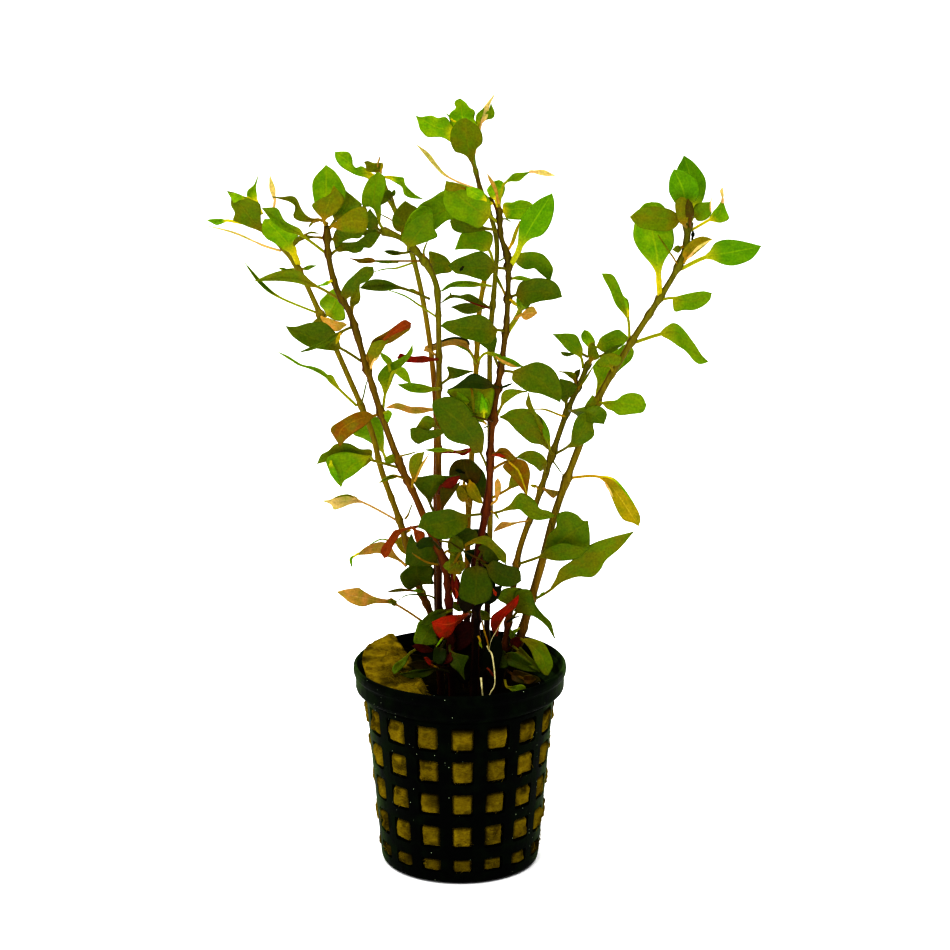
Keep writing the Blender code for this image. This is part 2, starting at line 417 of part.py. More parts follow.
def make_rock_wool(collection, cutters):
    """The rock wool: a plug that fills the net, with a lump left standing on its left side and a socket for each stem."""
    inner = ring_radius(0) - WALL - WOOL_GAP
    taper = (WALL_TOP_RADIUS - BASE_RADIUS) / WALL_TOP
    profile = [
        (0.0, WOOL_BOTTOM),
        (inner + taper * WOOL_BOTTOM, WOOL_BOTTOM),
        (inner + taper * WALL_TOP, LUMP_BOTTOM),
        (LUMP_RADIUS, LUMP_BOTTOM),
        (LUMP_RADIUS, LUMP_TOP),
        (0.0, LUMP_TOP),
    ]
    wool = turned_solid("rock_wool", profile, WOOL_SIDES, collection)
    wool.data.materials.append(colour_material("rock_wool", (0.30, 0.22, 0.02), 1.0))
    cut = bmesh.new()
    bmesh.ops.create_cube(cut, size=1.0)
    along = Vector(LUMP_EDGE_BACK) - Vector(LUMP_EDGE_FRONT)
    normal = Vector((along.y, -along.x)).normalized()
    width, height = 60.0, 20.0
    middle = (Vector(LUMP_EDGE_BACK) + Vector(LUMP_EDGE_FRONT)) / 2 + normal * width / 2
    for vert in cut.verts:
        place = middle + normal * vert.co.x * width + along.normalized() * vert.co.y * 2 * width
        vert.co = Vector((place.x, place.y, WOOL_TOP + height * (vert.co.z + 0.5))) * MM
    bmesh.ops.recalc_face_normals(cut, faces=cut.faces)
    mesh = bpy.data.meshes.new("wool_step")
    cut.to_mesh(mesh)
    cut.free()
    step = add_object("wool_step", mesh, cutters)
    mark_cutter(step)
    add_boolean(wool, step, "DIFFERENCE")
    for shoot in SHOOTS:
        socket = tube(f"{shoot.name}_socket", planted_points(shoot), shoot.radius + SOCKET_GAP, cutters)
        mark_cutter(socket)
        add_boolean(wool, socket, "DIFFERENCE")
    return wool


def tube(name, points, radius, collection, tip_share=1.0):
    """A six-sided tube along points in metres, with a radius in millimetres that tapers to a share of it, as a mesh."""
    curve = bpy.data.curves.new(name, "CURVE")
    curve.dimensions = "3D"
    curve.bevel_depth = radius * MM
    curve.bevel_resolution = 1
    curve.use_fill_caps = True
    line = curve.splines.new("POLY")
    line.points.add(len(points) - 1)
    for number, (place, point) in enumerate(zip(points, line.points)):
        point.co = (*place, 1.0)
        point.radius = 1.0 + (tip_share - 1.0) * number / (len(points) - 1)
    guide = bpy.data.objects.new(name + "_curve", curve)
    collection.objects.link(guide)
    bpy.context.view_layer.update()
    mesh = bpy.data.meshes.new_from_object(guide.evaluated_get(bpy.context.evaluated_depsgraph_get()))
    mesh.name = name
    made = add_object(name, mesh, collection)
    made.matrix_world = guide.matrix_world.copy()
    bpy.data.objects.remove(guide)
    shell = bmesh.new()
    shell.from_mesh(mesh)
    bmesh.ops.remove_doubles(shell, verts=shell.verts, dist=0.00001)
    bmesh.ops.recalc_face_normals(shell, faces=shell.faces)
    shell.to_mesh(mesh)
    shell.free()
    return made


def stem_points(shoot):
    """The stem's points from the rock wool's surface to the tip."""
    return [sight(*place) for place in shoot.route]


def planted_points(shoot):
    """The stretch of the socket, from just over the rock wool to just under the stem's planted end."""
    surface = stem_points(shoot)[0]
    surface.z = WOOL_TOP * MM
    return [
        surface + Vector((0, 0, 2 * MM)),
        surface - Vector((0, 0, (PLANTED_DEPTH + SOCKET_GAP) * MM)),
    ]


def separate_base(shoot, base, blade_start):
    """Where a leaf of its own starts: out along its stalk, so that it stays clear of the round stem."""
    stem = stem_points(shoot)
    upwards = (stem[-1] - stem[0]).normalized()
    outwards = (blade_start - base).normalized()
    clear = (shoot.radius + LEAF_GAP + LEAF_THICKNESS / 2) * MM
    return base + outwards * clear / max(outwards.cross(upwards).length, 0.35)


def make_leaf(name, shoot, grown, blade, separate, collection):
    """A leaf: a flat grid bent along the route, narrow on its stalk and wide on its blade, made 0.5 mm thick.

    Each half of the grid leans by its own angle out of the plane that faces the viewer. The blade is a list of
    places along it with its width there, both as shares.
    """
    depth = stem_depth(shoot, grown.route[0][1])
    points = [sight(column, row, depth + offset) for column, row, offset in grown.route]
    if separate:
        points[0] = separate_base(shoot, points[0], points[1])
    stations = [(0.0, 0.0)] + [(1.0 + 2.0 * place, width) for place, width in blade]
    sheet = bmesh.new()
    folds = 1 if grown.lean_left == -grown.lean_right else 2
    bmesh.ops.create_grid(sheet, x_segments=len(stations) - 1, y_segments=folds, size=0.5)
    for vert in sheet.verts:
        number = round((vert.co.x + 0.5) * (len(stations) - 1))
        side = round(vert.co.y * 2)
        place, share = stations[number]
        centre = spline_point(points, place)
        ahead = spline_point(points, min(place + 0.05, len(points) - 1.0))
        behind = spline_point(points, max(place - 0.05, 0.0))
        along = (ahead - behind).normalized()
        leftwards = along.cross(centre - EYE * MM).normalized()
        towards = along.cross(leftwards).normalized()
        lean = math.radians(grown.lean_left if side > 0 else grown.lean_right)
        across = leftwards * side * math.cos(lean) + towards * math.sin(lean)
        least = TIP_WIDTH if number == len(stations) - 1 else PETIOLE_WIDTH
        widest = grown.left if side > 0 else grown.right
        vert.co = centre + across * abs(side) * max(widest * share, least / 2) * MM
    mesh = bpy.data.meshes.new(name)
    sheet.to_mesh(mesh)
    sheet.free()
    made = add_object(name, mesh, collection, bpy.data.materials[grown.colour])
    thickness = made.modifiers.new("thickness", "SOLIDIFY")
    thickness.thickness = LEAF_THICKNESS * MM
    thickness.offset = 0.0
    return made


def make_stem(shoot, collection, joined):
    """A stem from its planted end to its tip, with the small leaves that grow from it joined on."""
    points = stem_points(shoot)
    points[0].z = WOOL_TOP * MM
    planted = points[0] - Vector((0, 0, PLANTED_DEPTH * MM))
    stem = tube(f"{shoot.name}_stem", [planted] + points, shoot.radius, collection, shoot.tip_share)
    stem.data.materials.append(bpy.data.materials[shoot.colour])
    for number, grown in enumerate(small for small in SMALL_LEAVES if small.shoot == shoot.name):
        piece = make_leaf(f"{shoot.name}_small_leaf_{number + 1}", shoot, grown, SMALL_BLADE, False, joined)
        mark_cutter(piece)
        add_boolean(stem, piece, "UNION")
    return stem


def clear_file():
    """Empties the file that Blender starts with."""
    for item in list(bpy.data.objects):
        bpy.data.objects.remove(item)


def main():
    """Builds every sub-part."""
    clear_file()
    scene = bpy.context.scene
    parts = bpy.data.collections.new("potted_marsh_seedbox")
    cutters = bpy.data.collections.new("cutters")
    joined = bpy.data.collections.new("joined_leaves")
    for collection in (parts, cutters, joined):
        scene.collection.children.link(collection)
    for name, colour in COLOURS.items():
        colour_material(name, colour, 0.5)
    make_net_pot(parts)
    make_rock_wool(parts, cutters)
    for shoot in SHOOTS:
        make_stem(shoot, parts, joined)
        for number, grown in enumerate(large for large in LARGE_LEAVES if large.shoot == shoot.name):
            make_leaf(f"{shoot.name}_leaf_{number + 1}", shoot, grown, LARGE_BLADE, True, parts)
    root = tube("root", [sight(*place) for place in ROOT_ROUTE], ROOT_RADIUS, parts)
    root.data.materials.append(colour_material("white_root", (0.8, 0.7, 0.5), 0.6))


main()
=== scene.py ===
"""Looks of the potted marsh seedbox: a net pot of rock wool with nine leafy shoots.

Lengths are in millimetres until they go into a mesh. A place on the plant is a pixel column and row of the
photograph with a depth in millimetres behind the pot's axis, which PhotoView turns into a point.
"""

import logging
import math
from dataclasses import dataclass
from enum import Enum

import bpy
import numpy as np
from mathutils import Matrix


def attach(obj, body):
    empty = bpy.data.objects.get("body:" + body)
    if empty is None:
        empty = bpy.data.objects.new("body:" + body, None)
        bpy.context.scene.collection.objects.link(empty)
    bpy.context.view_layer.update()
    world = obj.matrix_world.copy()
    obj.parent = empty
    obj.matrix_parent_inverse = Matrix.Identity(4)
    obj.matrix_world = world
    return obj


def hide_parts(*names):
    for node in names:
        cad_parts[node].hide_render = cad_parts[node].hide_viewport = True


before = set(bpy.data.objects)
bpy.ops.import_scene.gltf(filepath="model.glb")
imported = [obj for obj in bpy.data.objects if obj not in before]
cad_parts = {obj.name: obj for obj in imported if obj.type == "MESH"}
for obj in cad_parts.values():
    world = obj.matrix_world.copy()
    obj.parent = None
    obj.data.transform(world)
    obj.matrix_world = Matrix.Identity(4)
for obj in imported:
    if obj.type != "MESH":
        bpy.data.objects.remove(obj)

LOG = logging.getLogger("potted_marsh_seedbox")
MM = 0.001
# The height of the rock wool's top over the pot's foot, in millimetres: the stems go in there.
WOOL_TOP = 44.0
# Large odd numbers that mix the bits of a lattice place.
HASH_FACTORS = (374761393, 668265263, 2147483647)
HASH_MIXER = 1274126177


def srgb(code: str) -> tuple[float, float, float, float]:
    """A linear colour from an sRGB hex code.

    Args:
        code: six hex digits after a #.

    Returns:
        red, green, blue and alpha.
    """
    parts = [int(code[i : i + 2], 16) / 255 for i in (1, 3, 5)]
    linear = [c / 12.92 if c <= 0.04045 else ((c + 0.055) / 1.055) ** 2.4 for c in parts]
    return (*linear, 1.0)


def add_node(
    tree: bpy.types.NodeTree, kind: str, settings: dict | None = None, feeds: dict | None = None
) -> bpy.types.Node:
    """Adds a shader node with its settings and links.

    Args:
        tree: the material's node tree.
        kind: the node's type without the ShaderNode that it starts with.
        settings: property names, or input names and numbers, with their values.
        feeds: input names and numbers with the sockets that feed them, or with a node for its first socket.

    Returns:
        the node.
    """
    node = tree.nodes.new("ShaderNode" + kind)
    for name, value in (settings or {}).items():
        if isinstance(name, str) and hasattr(node, name):
            setattr(node, name, value)
        else:
            node.inputs[name].default_value = value
    for name, source in (feeds or {}).items():
        socket = source.outputs[0] if isinstance(source, bpy.types.Node) else source
        tree.links.new(socket, node.inputs[name])
    return node


def value_noise(points: np.ndarray, size: float, seed: int) -> np.ndarray:
    """Smooth noise from -1 to 1: hashed values on a cubic lattice, blended between corners by 3t^2 - 2t^3.

    Args:
        points: n places in millimetres, as an (n, 3) array.
        size: the lattice's spacing in millimetres.
        seed: which random values.

    Returns:
        n values.
    """
    place = points / size
    cell = np.floor(place).astype(np.int64)
    share = place - cell
    share = share * share * (3 - 2 * share)
    total = np.zeros(len(points))
    for corner in np.ndindex(2, 2, 2):
        key = cell + np.array(corner)
        mixed = (key * HASH_FACTORS).sum(axis=1) + seed * HASH_MIXER
        mixed = (mixed ^ (mixed >> 13)) * HASH_MIXER & 0xFFFFFFFF
        random = ((mixed ^ (mixed >> 16)) & 0xFFFF) / 32767.5 - 1
        weight = np.prod(np.where(np.array(corner) == 1, share, 1 - share), axis=1)
        total += random * weight
    return total


def layered_noise(points: np.ndarray, *layers: tuple[float, float, int]) -> np.ndarray:
    """Noise in layers: a sum of value noises, each with its share, its size in millimetres and its seed."""
    return sum(share * value_noise(points, size, seed) for share, size, seed in layers)


def unit(vectors: np.ndarray) -> np.ndarray:
    """Vectors made one long, along the last axis."""
    return vectors / np.maximum(np.linalg.norm(vectors, axis=-1, keepdims=True), 1e-9)


@dataclass(frozen=True)
class PhotoView:
    """The photograph's view: the eye in millimetres, the tilt in degrees, the focal length in pixels."""

    eye: tuple[float, float, float] = (3.9, -823.0, 339.0)
    tilt: float = 16.0
    focal: float = 3376.0
    centre: float = 475.0
    sensor_mm: float = 36.0

    def points(self, places: np.ndarray) -> np.ndarray:
        """Points in millimetres: each goes along its pixel's line of sight as far as its depth.

        Args:
            places: columns, rows and depths, as an (n, 3) array.

        Returns:
            the points, as an (n, 3) array.
        """
        across = (places[:, 0] - self.centre) / self.focal
        up = (self.centre - places[:, 1]) / self.focal
        cos, sin = math.cos(math.radians(self.tilt)), math.sin(math.radians(self.tilt))
        ray = np.stack([across, cos + up * sin, up * cos - sin], axis=1)
        reach = (places[:, 2] - self.eye[1]) / ray[:, 1]
        return np.array(self.eye) + ray * reach[:, None]

    def add_camera(self) -> None:
        """Adds the camera and makes it the scene's."""
        data = bpy.data.cameras.new("camera")
        data.sensor_width = self.sensor_mm
        data.lens = self.focal / (2 * self.centre) * self.sensor_mm
        camera = bpy.data.objects.new("camera", data)
        camera.location = [value * MM for value in self.eye]
        camera.rotation_euler = (math.radians(90 - self.tilt), 0, 0)
        bpy.context.scene.collection.objects.link(camera)
        bpy.context.scene.camera = camera


VIEW = PhotoView()


def smooth_curve(points: np.ndarray, positions: np.ndarray) -> np.ndarray:
    """Points of a Catmull-Rom curve: cubic spans whose end slopes are half the step between the neighbours.

    Args:
        points: the points that it passes through, as an (n, m) array.
        positions: places along it, where whole numbers are the points themselves.

    Returns:
        the points at those places.
    """
    count = len(points)
    start = np.clip(np.floor(positions).astype(int), 0, count - 2)
    share = (positions - start)[:, None]
    here, there = points[start], points[start + 1]
    slope_here = (there - points[np.maximum(start - 1, 0)]) / 2
    slope_there = (points[np.minimum(start + 2, count - 1)] - here) / 2
    return (
        here * (2 * share**3 - 3 * share**2 + 1)
        + there * (3 * share**2 - 2 * share**3)
        + slope_here * (share**3 - 2 * share**2 + share)
        + slope_there * (share**3 - share**2)
    )


def along_lengths(points: np.ndarray) -> np.ndarray:
    """How far along a chain of points each of them is."""
    steps = np.linalg.norm(np.diff(points, axis=0), axis=1)
    return np.concatenate([[0.0], np.cumsum(steps)])


@dataclass
class Surface:
    """A mesh in the making: points and faces, a UV place and a shade for each point, a slot for each face."""

    points: np.ndarray
    faces: np.ndarray
    uv: np.ndarray
    shade: np.ndarray
    slots: np.ndarray

    @staticmethod
    def swept(rings: np.ndarray, uv: np.ndarray, shade: float = 1.0, slot: int = 0) -> "Surface":
        """A closed skin over rings: quads between neighbours, and a fan to the middle point at each end.

        Args:
            rings: (stations, around, 3) points, which turn to the left as seen from the far end.
            uv: (stations, around, 2) places.
            shade: how light the piece is beside its material's colour.
            slot: which of the object's materials it wears.

        Returns:
            the surface, with its faces outwards.
        """
        stations, around = rings.shape[:2]
        points = np.concatenate([rings.reshape(-1, 3), rings[:1].mean(axis=1), rings[-1:].mean(axis=1)])
        places = np.concatenate([uv.reshape(-1, 2), uv[:1].mean(axis=1), uv[-1:].mean(axis=1)])
        here = np.arange(around)
        after = (here + 1) % around
        rows = np.arange(stations - 1)[:, None] * around
        quads = np.stack([rows + here, rows + after, rows + around + after, rows + around + here], axis=-1)
        first, last = stations * around, stations * around + 1
        top = (stations - 1) * around
        fan = np.stack([np.full(around, first), after, here, here], axis=-1)
        cap = np.stack([np.full(around, last), top + here, top + after, top + after], axis=-1)
        faces = np.concatenate([quads.reshape(-1, 4), fan, cap])
        count = len(points)
        return Surface(points, faces, places, np.full(count, shade), np.full(len(faces), slot))

    @staticmethod
    def joined(surfaces: list["Surface"]) -> "Surface":
        """One surface out of several, each with its faces counted on from the points before it.

        Args:
            surfaces: the surfaces.

        Returns:
            the one.
        """
        starts = np.cumsum([0] + [len(one.points) for one in surfaces[:-1]])
        return Surface(
            np.concatenate([one.points for one in surfaces]),
            np.concatenate([one.faces + start for one, start in zip(surfaces, starts)]),
            np.concatenate([one.uv for one in surfaces]),
            np.concatenate([one.shade for one in surfaces]),
            np.concatenate([one.slots for one in surfaces]),
        )

    def add_object(self, name: str, materials: list[bpy.types.Material]) -> bpy.types.Object:
        """Makes the mesh and its object, with its faces shaded as one smooth surface.

        Args:
            name: the piece's name.
            materials: its materials, in the order of their slots.

        Returns:
            the object, which sits at the origin.
        """
        triangle = self.faces[:, 2] == self.faces[:, 3]
        sizes = np.where(triangle, 3, 4)
        keep = np.ones(self.faces.shape, bool)
        keep[triangle, 3] = False
        corners = self.faces[keep]
        mesh = bpy.data.meshes.new(name)
        mesh.vertices.add(len(self.points))
        mesh.vertices.foreach_set("co", (self.points * MM).astype(np.float32).ravel())
        mesh.loops.add(len(corners))
        mesh.loops.foreach_set("vertex_index", corners.astype(np.int32))
        mesh.polygons.add(len(sizes))
        starts = np.concatenate([[0], np.cumsum(sizes)[:-1]])
        mesh.polygons.foreach_set("loop_start", starts.astype(np.int32))
        mesh.polygons.foreach_set("loop_total", sizes.astype(np.int32))
        mesh.polygons.foreach_set("material_index", self.slots.astype(np.int32))
        mesh.polygons.foreach_set("use_smooth", np.full(len(sizes), True))
        layer = mesh.uv_layers.new(name="surface")
        layer.data.foreach_set("uv", self.uv[corners].astype(np.float32).ravel())
        tone = mesh.attributes.new("shade", "FLOAT", "POINT")
        tone.data.foreach_set("value", self.shade.astype(np.float32))
        for material in materials:
            mesh.materials.append(material)
        mesh.validate()
        mesh.update()
        piece = bpy.data.objects.new(name, mesh)
        bpy.context.scene.collection.objects.link(piece)
        return piece


def hand_over(piece: bpy.types.Object, node: str) -> None:
    """Tells the frame what a finished piece is, and logs it.

    Args:
        piece: the finished piece.
        node: the CAD node that it stands for.
    """
    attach(piece, "root")
    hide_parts(node)
    LOG.info("%s: %d faces for %s", piece.name, len(piece.data.polygons), node)


class Finish:
    """What every finish shares: a blank material, and its own shader joined to the output."""

    def material(self, name: str) -> bpy.types.Material:
        """Builds the material.

        Args:
            name: the material's name.

        Returns:
            the material.
        """
        made = bpy.data.materials.new(name)
        made.use_nodes = True
        tree = made.node_tree
        tree.nodes.clear()
        shader = self.shader(tree, add_node(tree, "TexCoord"))
        add_node(tree, "OutputMaterial", feeds={"Surface": shader})
        return made

    def shader(self, tree: bpy.types.NodeTree, place: bpy.types.Node) -> bpy.types.Node:
        """Adds the finish's own nodes, fed by the texture coordinates, and gives back the last of them."""
        raise NotImplementedError


@dataclass(frozen=True)
class LeafFinish(Finish):
    """A living leaf: a waxy, slightly puckered skin over mottled flesh, a little lighter along its ribs."""

    slot: str
    heart: str
    patch: str
    rib: str
    heel: str
    edge: str
    patch_share: float = 0.45
    roughness: float = 0.42
    patch_mm: float = 3.0
    mottle_mm: float = 0.5
    vein_pairs: float = 7.0
    rib_bump_mm: float = 0.12

    def shader(self, tree: bpy.types.NodeTree, place: bpy.types.Node) -> bpy.types.Node:
        """Adds the leaf's nodes: its UV runs along it and across it, with the rib at the middle of V.

        Args:
            tree: the material's tree.
            place: its texture coordinates.

        Returns:
            the shader.
        """
        split = add_node(tree, "SeparateXYZ", feeds={0: place.outputs["UV"]})
        offset = add_node(tree, "Math", {"operation": "SUBTRACT", 1: 0.5}, {0: split.outputs["Y"]})
        aside = add_node(tree, "Math", {"operation": "ABSOLUTE"}, {0: offset})
        rib = add_node(
            tree, "MapRange", {"interpolation_type": "SMOOTHSTEP", 1: 0.006, 2: 0.045, 3: 0.5, 4: 0.0},
            {0: aside},
        )
        # Side veins leave the rib forwards: their phase falls behind with the distance from the rib.
        slant = add_node(tree, "Math", {"operation": "MULTIPLY", 1: 0.9}, {0: aside})
        phase = add_node(tree, "Math", {"operation": "SUBTRACT"}, {0: split.outputs["X"], 1: slant})
        count = add_node(tree, "Math", {"operation": "MULTIPLY", 1: self.vein_pairs}, {0: phase})
        ripple = add_node(tree, "Math", {"operation": "PINGPONG", 1: 0.5}, {0: count})
        vein = add_node(
            tree, "MapRange", {"interpolation_type": "SMOOTHSTEP", 1: 0.0, 2: 0.09, 3: 1.0, 4: 0.0},
            {0: ripple},
        )
        fade = add_node(tree, "MapRange", {1: 0.1, 2: 0.46, 3: 0.2, 4: 0.0}, {0: aside})
        side_vein = add_node(tree, "Math", {"operation": "MULTIPLY"}, {0: vein, 1: fade})
        ribs = add_node(tree, "Math", {"operation": "MAXIMUM"}, {0: rib, 1: side_vein})
        # Two sizes of noise: patches where the flesh has aged, and a mottle. Real cells are ten times finer.
        patches = add_node(
            tree, "TexNoise", {"Scale": 1 / (self.patch_mm * MM), "Detail": 2.0},
            {"Vector": place.outputs["Object"]},
        )
        mottle = add_node(
            tree, "TexNoise", {"Scale": 1 / (self.mottle_mm * MM), "Detail": 2.0},
            {"Vector": place.outputs["Object"]},
        )
        low, high = 0.62 - self.patch_share / 2, 0.88 - self.patch_share / 2
        patch_mask = add_node(tree, "MapRange", {1: low, 2: high, 3: 0.0, 4: 1.0}, {0: patches})
        flesh = add_node(tree, "MixRGB", {1: srgb(self.heart), 2: srgb(self.patch)}, {0: patch_mask})
        # The heel is the first third of the blade, next to the stalk.
        heel_mask = add_node(
            tree, "MapRange", {"interpolation_type": "SMOOTHSTEP", 1: 0.02, 2: 0.34, 3: 1.0, 4: 0.0},
            {0: split.outputs["X"]},
        )
        heeled = add_node(tree, "MixRGB", {2: srgb(self.heel)}, {0: heel_mask, 1: flesh})
        ribbed = add_node(tree, "MixRGB", {2: srgb(self.rib)}, {0: ribs, 1: heeled})
        edge_mask = add_node(
            tree, "MapRange", {"interpolation_type": "SMOOTHSTEP", 1: 0.44, 2: 0.5, 3: 0.0, 4: 0.8},
            {0: aside},
        )
        edged = add_node(tree, "MixRGB", {2: srgb(self.edge)}, {0: edge_mask, 1: ribbed})
        speckle = add_node(tree, "MapRange", {1: 0.3, 2: 0.7, 3: 0.8, 4: 1.15}, {0: mottle})
        tone = add_node(tree, "Attribute", {"attribute_name": "shade"})
        light = add_node(tree, "Math", {"operation": "MULTIPLY"}, {0: speckle, 1: tone.outputs["Fac"]})
        colour = add_node(tree, "HueSaturation", feeds={"Value": light, "Color": edged})
        hollow = add_node(tree, "Math", {"operation": "MULTIPLY_ADD", 1: 0.25, 2: 0.0}, {0: mottle})
        height = add_node(tree, "Math", {"operation": "SUBTRACT"}, {0: hollow, 1: ribs})
        bump = add_node(
            tree, "Bump", {"Strength": 0.6, "Distance": self.rib_bump_mm * MM}, {"Height": height}
        )
        rough = add_node(tree, "MapRange", {3: self.roughness - 0.1, 4: self.roughness + 0.15}, {0: patches})
        return add_node(
            tree, "BsdfPrincipled", {"IOR": 1.42, "Specular IOR Level": 0.07},
            {"Base Color": colour, "Roughness": rough, "Normal": bump},
        )


class Age(Enum):
    """A leaf's age and state, with its finish."""

    # YOUNG and FRESH are young leaves' lighter greens, lightened further by painted light on the shoots'
    # tops.
    YOUNG = LeafFinish("young_green_leaf", "#628c00", "#7e9a00", "#96a806", "#c0b010", "#729000")
    FRESH = LeafFinish("young_green_leaf", "#527e00", "#5e8400", "#84a008", "#a0a010", "#5a8000")
    GREEN = LeafFinish("green_leaf", "#5c7c00", "#6c8200", "#767e04", "#848404", "#648000")
    MOSS = LeafFinish("green_leaf", "#5e7200", "#6a6c00", "#747404", "#746a04", "#627000")
    DARK = LeafFinish("dark_green_leaf", "#465a00", "#525c00", "#5c6202", "#605a02", "#4e6200")
    # DEEP is the dark green leaf darkened by painted shade, for leaves and bits that lie low in shade.
    DEEP = LeafFinish("dark_green_leaf", "#1e2e00", "#283400", "#323a00", "#322e02", "#283400")
    OLIVE = LeafFinish("olive_leaf", "#6c6800", "#606a00", "#7c7808", "#826602", "#666a00")
    BROWN = LeafFinish("olive_leaf", "#4c3c02", "#424400", "#5e4c08", "#5c3c04", "#362e02")
    RUST = LeafFinish("orange_leaf", "#724a02", "#685a00", "#90700a", "#7a5a04", "#5c5c00")
    ORANGE = LeafFinish("orange_leaf", "#b0803a", "#948028", "#c8a45c", "#a47c2c", "#6c6e04")
    YELLOW = LeafFinish("orange_leaf", "#988608", "#827c04", "#bca42c", "#a88408", "#6a7a00")
    PALE = LeafFinish("orange_leaf", "#d0b468", "#b4ac50", "#e0cc90", "#cca060", "#90a020")
    AUBURN = LeafFinish("red_leaf", "#7e3604", "#703604", "#945020", "#7a3c04", "#6a2c02")
    RED = LeafFinish("red_leaf", "#8e1e04", "#6c2602", "#ac4820", "#7c3004", "#5e1a02")


@dataclass(frozen=True)
class StemFinish(Finish):
    """A soft stem: smooth satin skin, streaked lengthwise, olive to red-brown, with painted shade along its
    sides.
    """

    slot: str
    stops: tuple[tuple[float, str], ...]
    # Each side's colour is partly the stem's red-brown skin and partly painted shade along its edges.
    left: str
    right: str
    left_from: float = 0.5
    right_from: float = 0.5
    roughness: float = 0.5
    streak_mm: float = 0.5
    streak_squeeze: float = 0.12
    bump_mm: float = 0.06

    def shader(self, tree: bpy.types.NodeTree, place: bpy.types.Node) -> bpy.types.Node:
        """Adds the stem's nodes: its UV runs up the stem and around it, from the left side.

        Args:
            tree: the material's tree.
            place: its texture coordinates.

        Returns:
            the shader.
        """
        split = add_node(tree, "SeparateXYZ", feeds={0: place.outputs["UV"]})
        skin = add_node(tree, "ValToRGB", feeds={0: split.outputs["X"]})
        points = skin.color_ramp.elements
        while len(points) < len(self.stops):
            points.new(0.5)
        for point, (share, tone) in zip(points, self.stops):
            point.position, point.color = share, srgb(tone)
        # The cosine of the way around is 1 on the left side and -1 on the right side.
        angle = add_node(tree, "Math", {"operation": "MULTIPLY", 1: 2 * math.pi}, {0: split.outputs["Y"]})
        aside = add_node(tree, "Math", {"operation": "COSINE"}, {0: angle})
        # Painted shade: each side is mixed towards its own darker colour, over the stem's red-brown skin.
        for side, start, colour in ((1, self.left_from, self.left), (-1, self.right_from, self.right)):
            reach = add_node(
                tree, "MapRange", {1: side * start, 2: side * (start + 0.5), 3: 0.0, 4: 0.9}, {0: aside}
            )
            skin = add_node(tree, "MixRGB", {2: srgb(colour)}, {0: reach, 1: skin})
        squeeze = add_node(
            tree, "Mapping", {"Scale": (1.0, 1.0, self.streak_squeeze)}, {"Vector": place.outputs["Object"]}
        )
        streaks = add_node(
            tree, "TexNoise", {"Scale": 1 / (self.streak_mm * MM), "Detail": 3.0}, {"Vector": squeeze}
        )
        lightness = add_node(tree, "MapRange", {1: 0.3, 2: 0.7, 3: 0.7, 4: 1.25}, {0: streaks})
        tone = add_node(tree, "Attribute", {"attribute_name": "shade"})
        value = add_node(tree, "Math", {"operation": "MULTIPLY"}, {0: tone.outputs["Fac"], 1: lightness})
        colour = add_node(tree, "HueSaturation", feeds={"Value": value, "Color": skin})
        bump = add_node(tree, "Bump", {"Strength": 0.5, "Distance": self.bump_mm * MM}, {"Height": streaks})
        return add_node(
            tree, "BsdfPrincipled", {"Roughness": self.roughness, "IOR": 1.42, "Specular IOR Level": 0.06},
            {"Base Color": colour, "Normal": bump},
        )


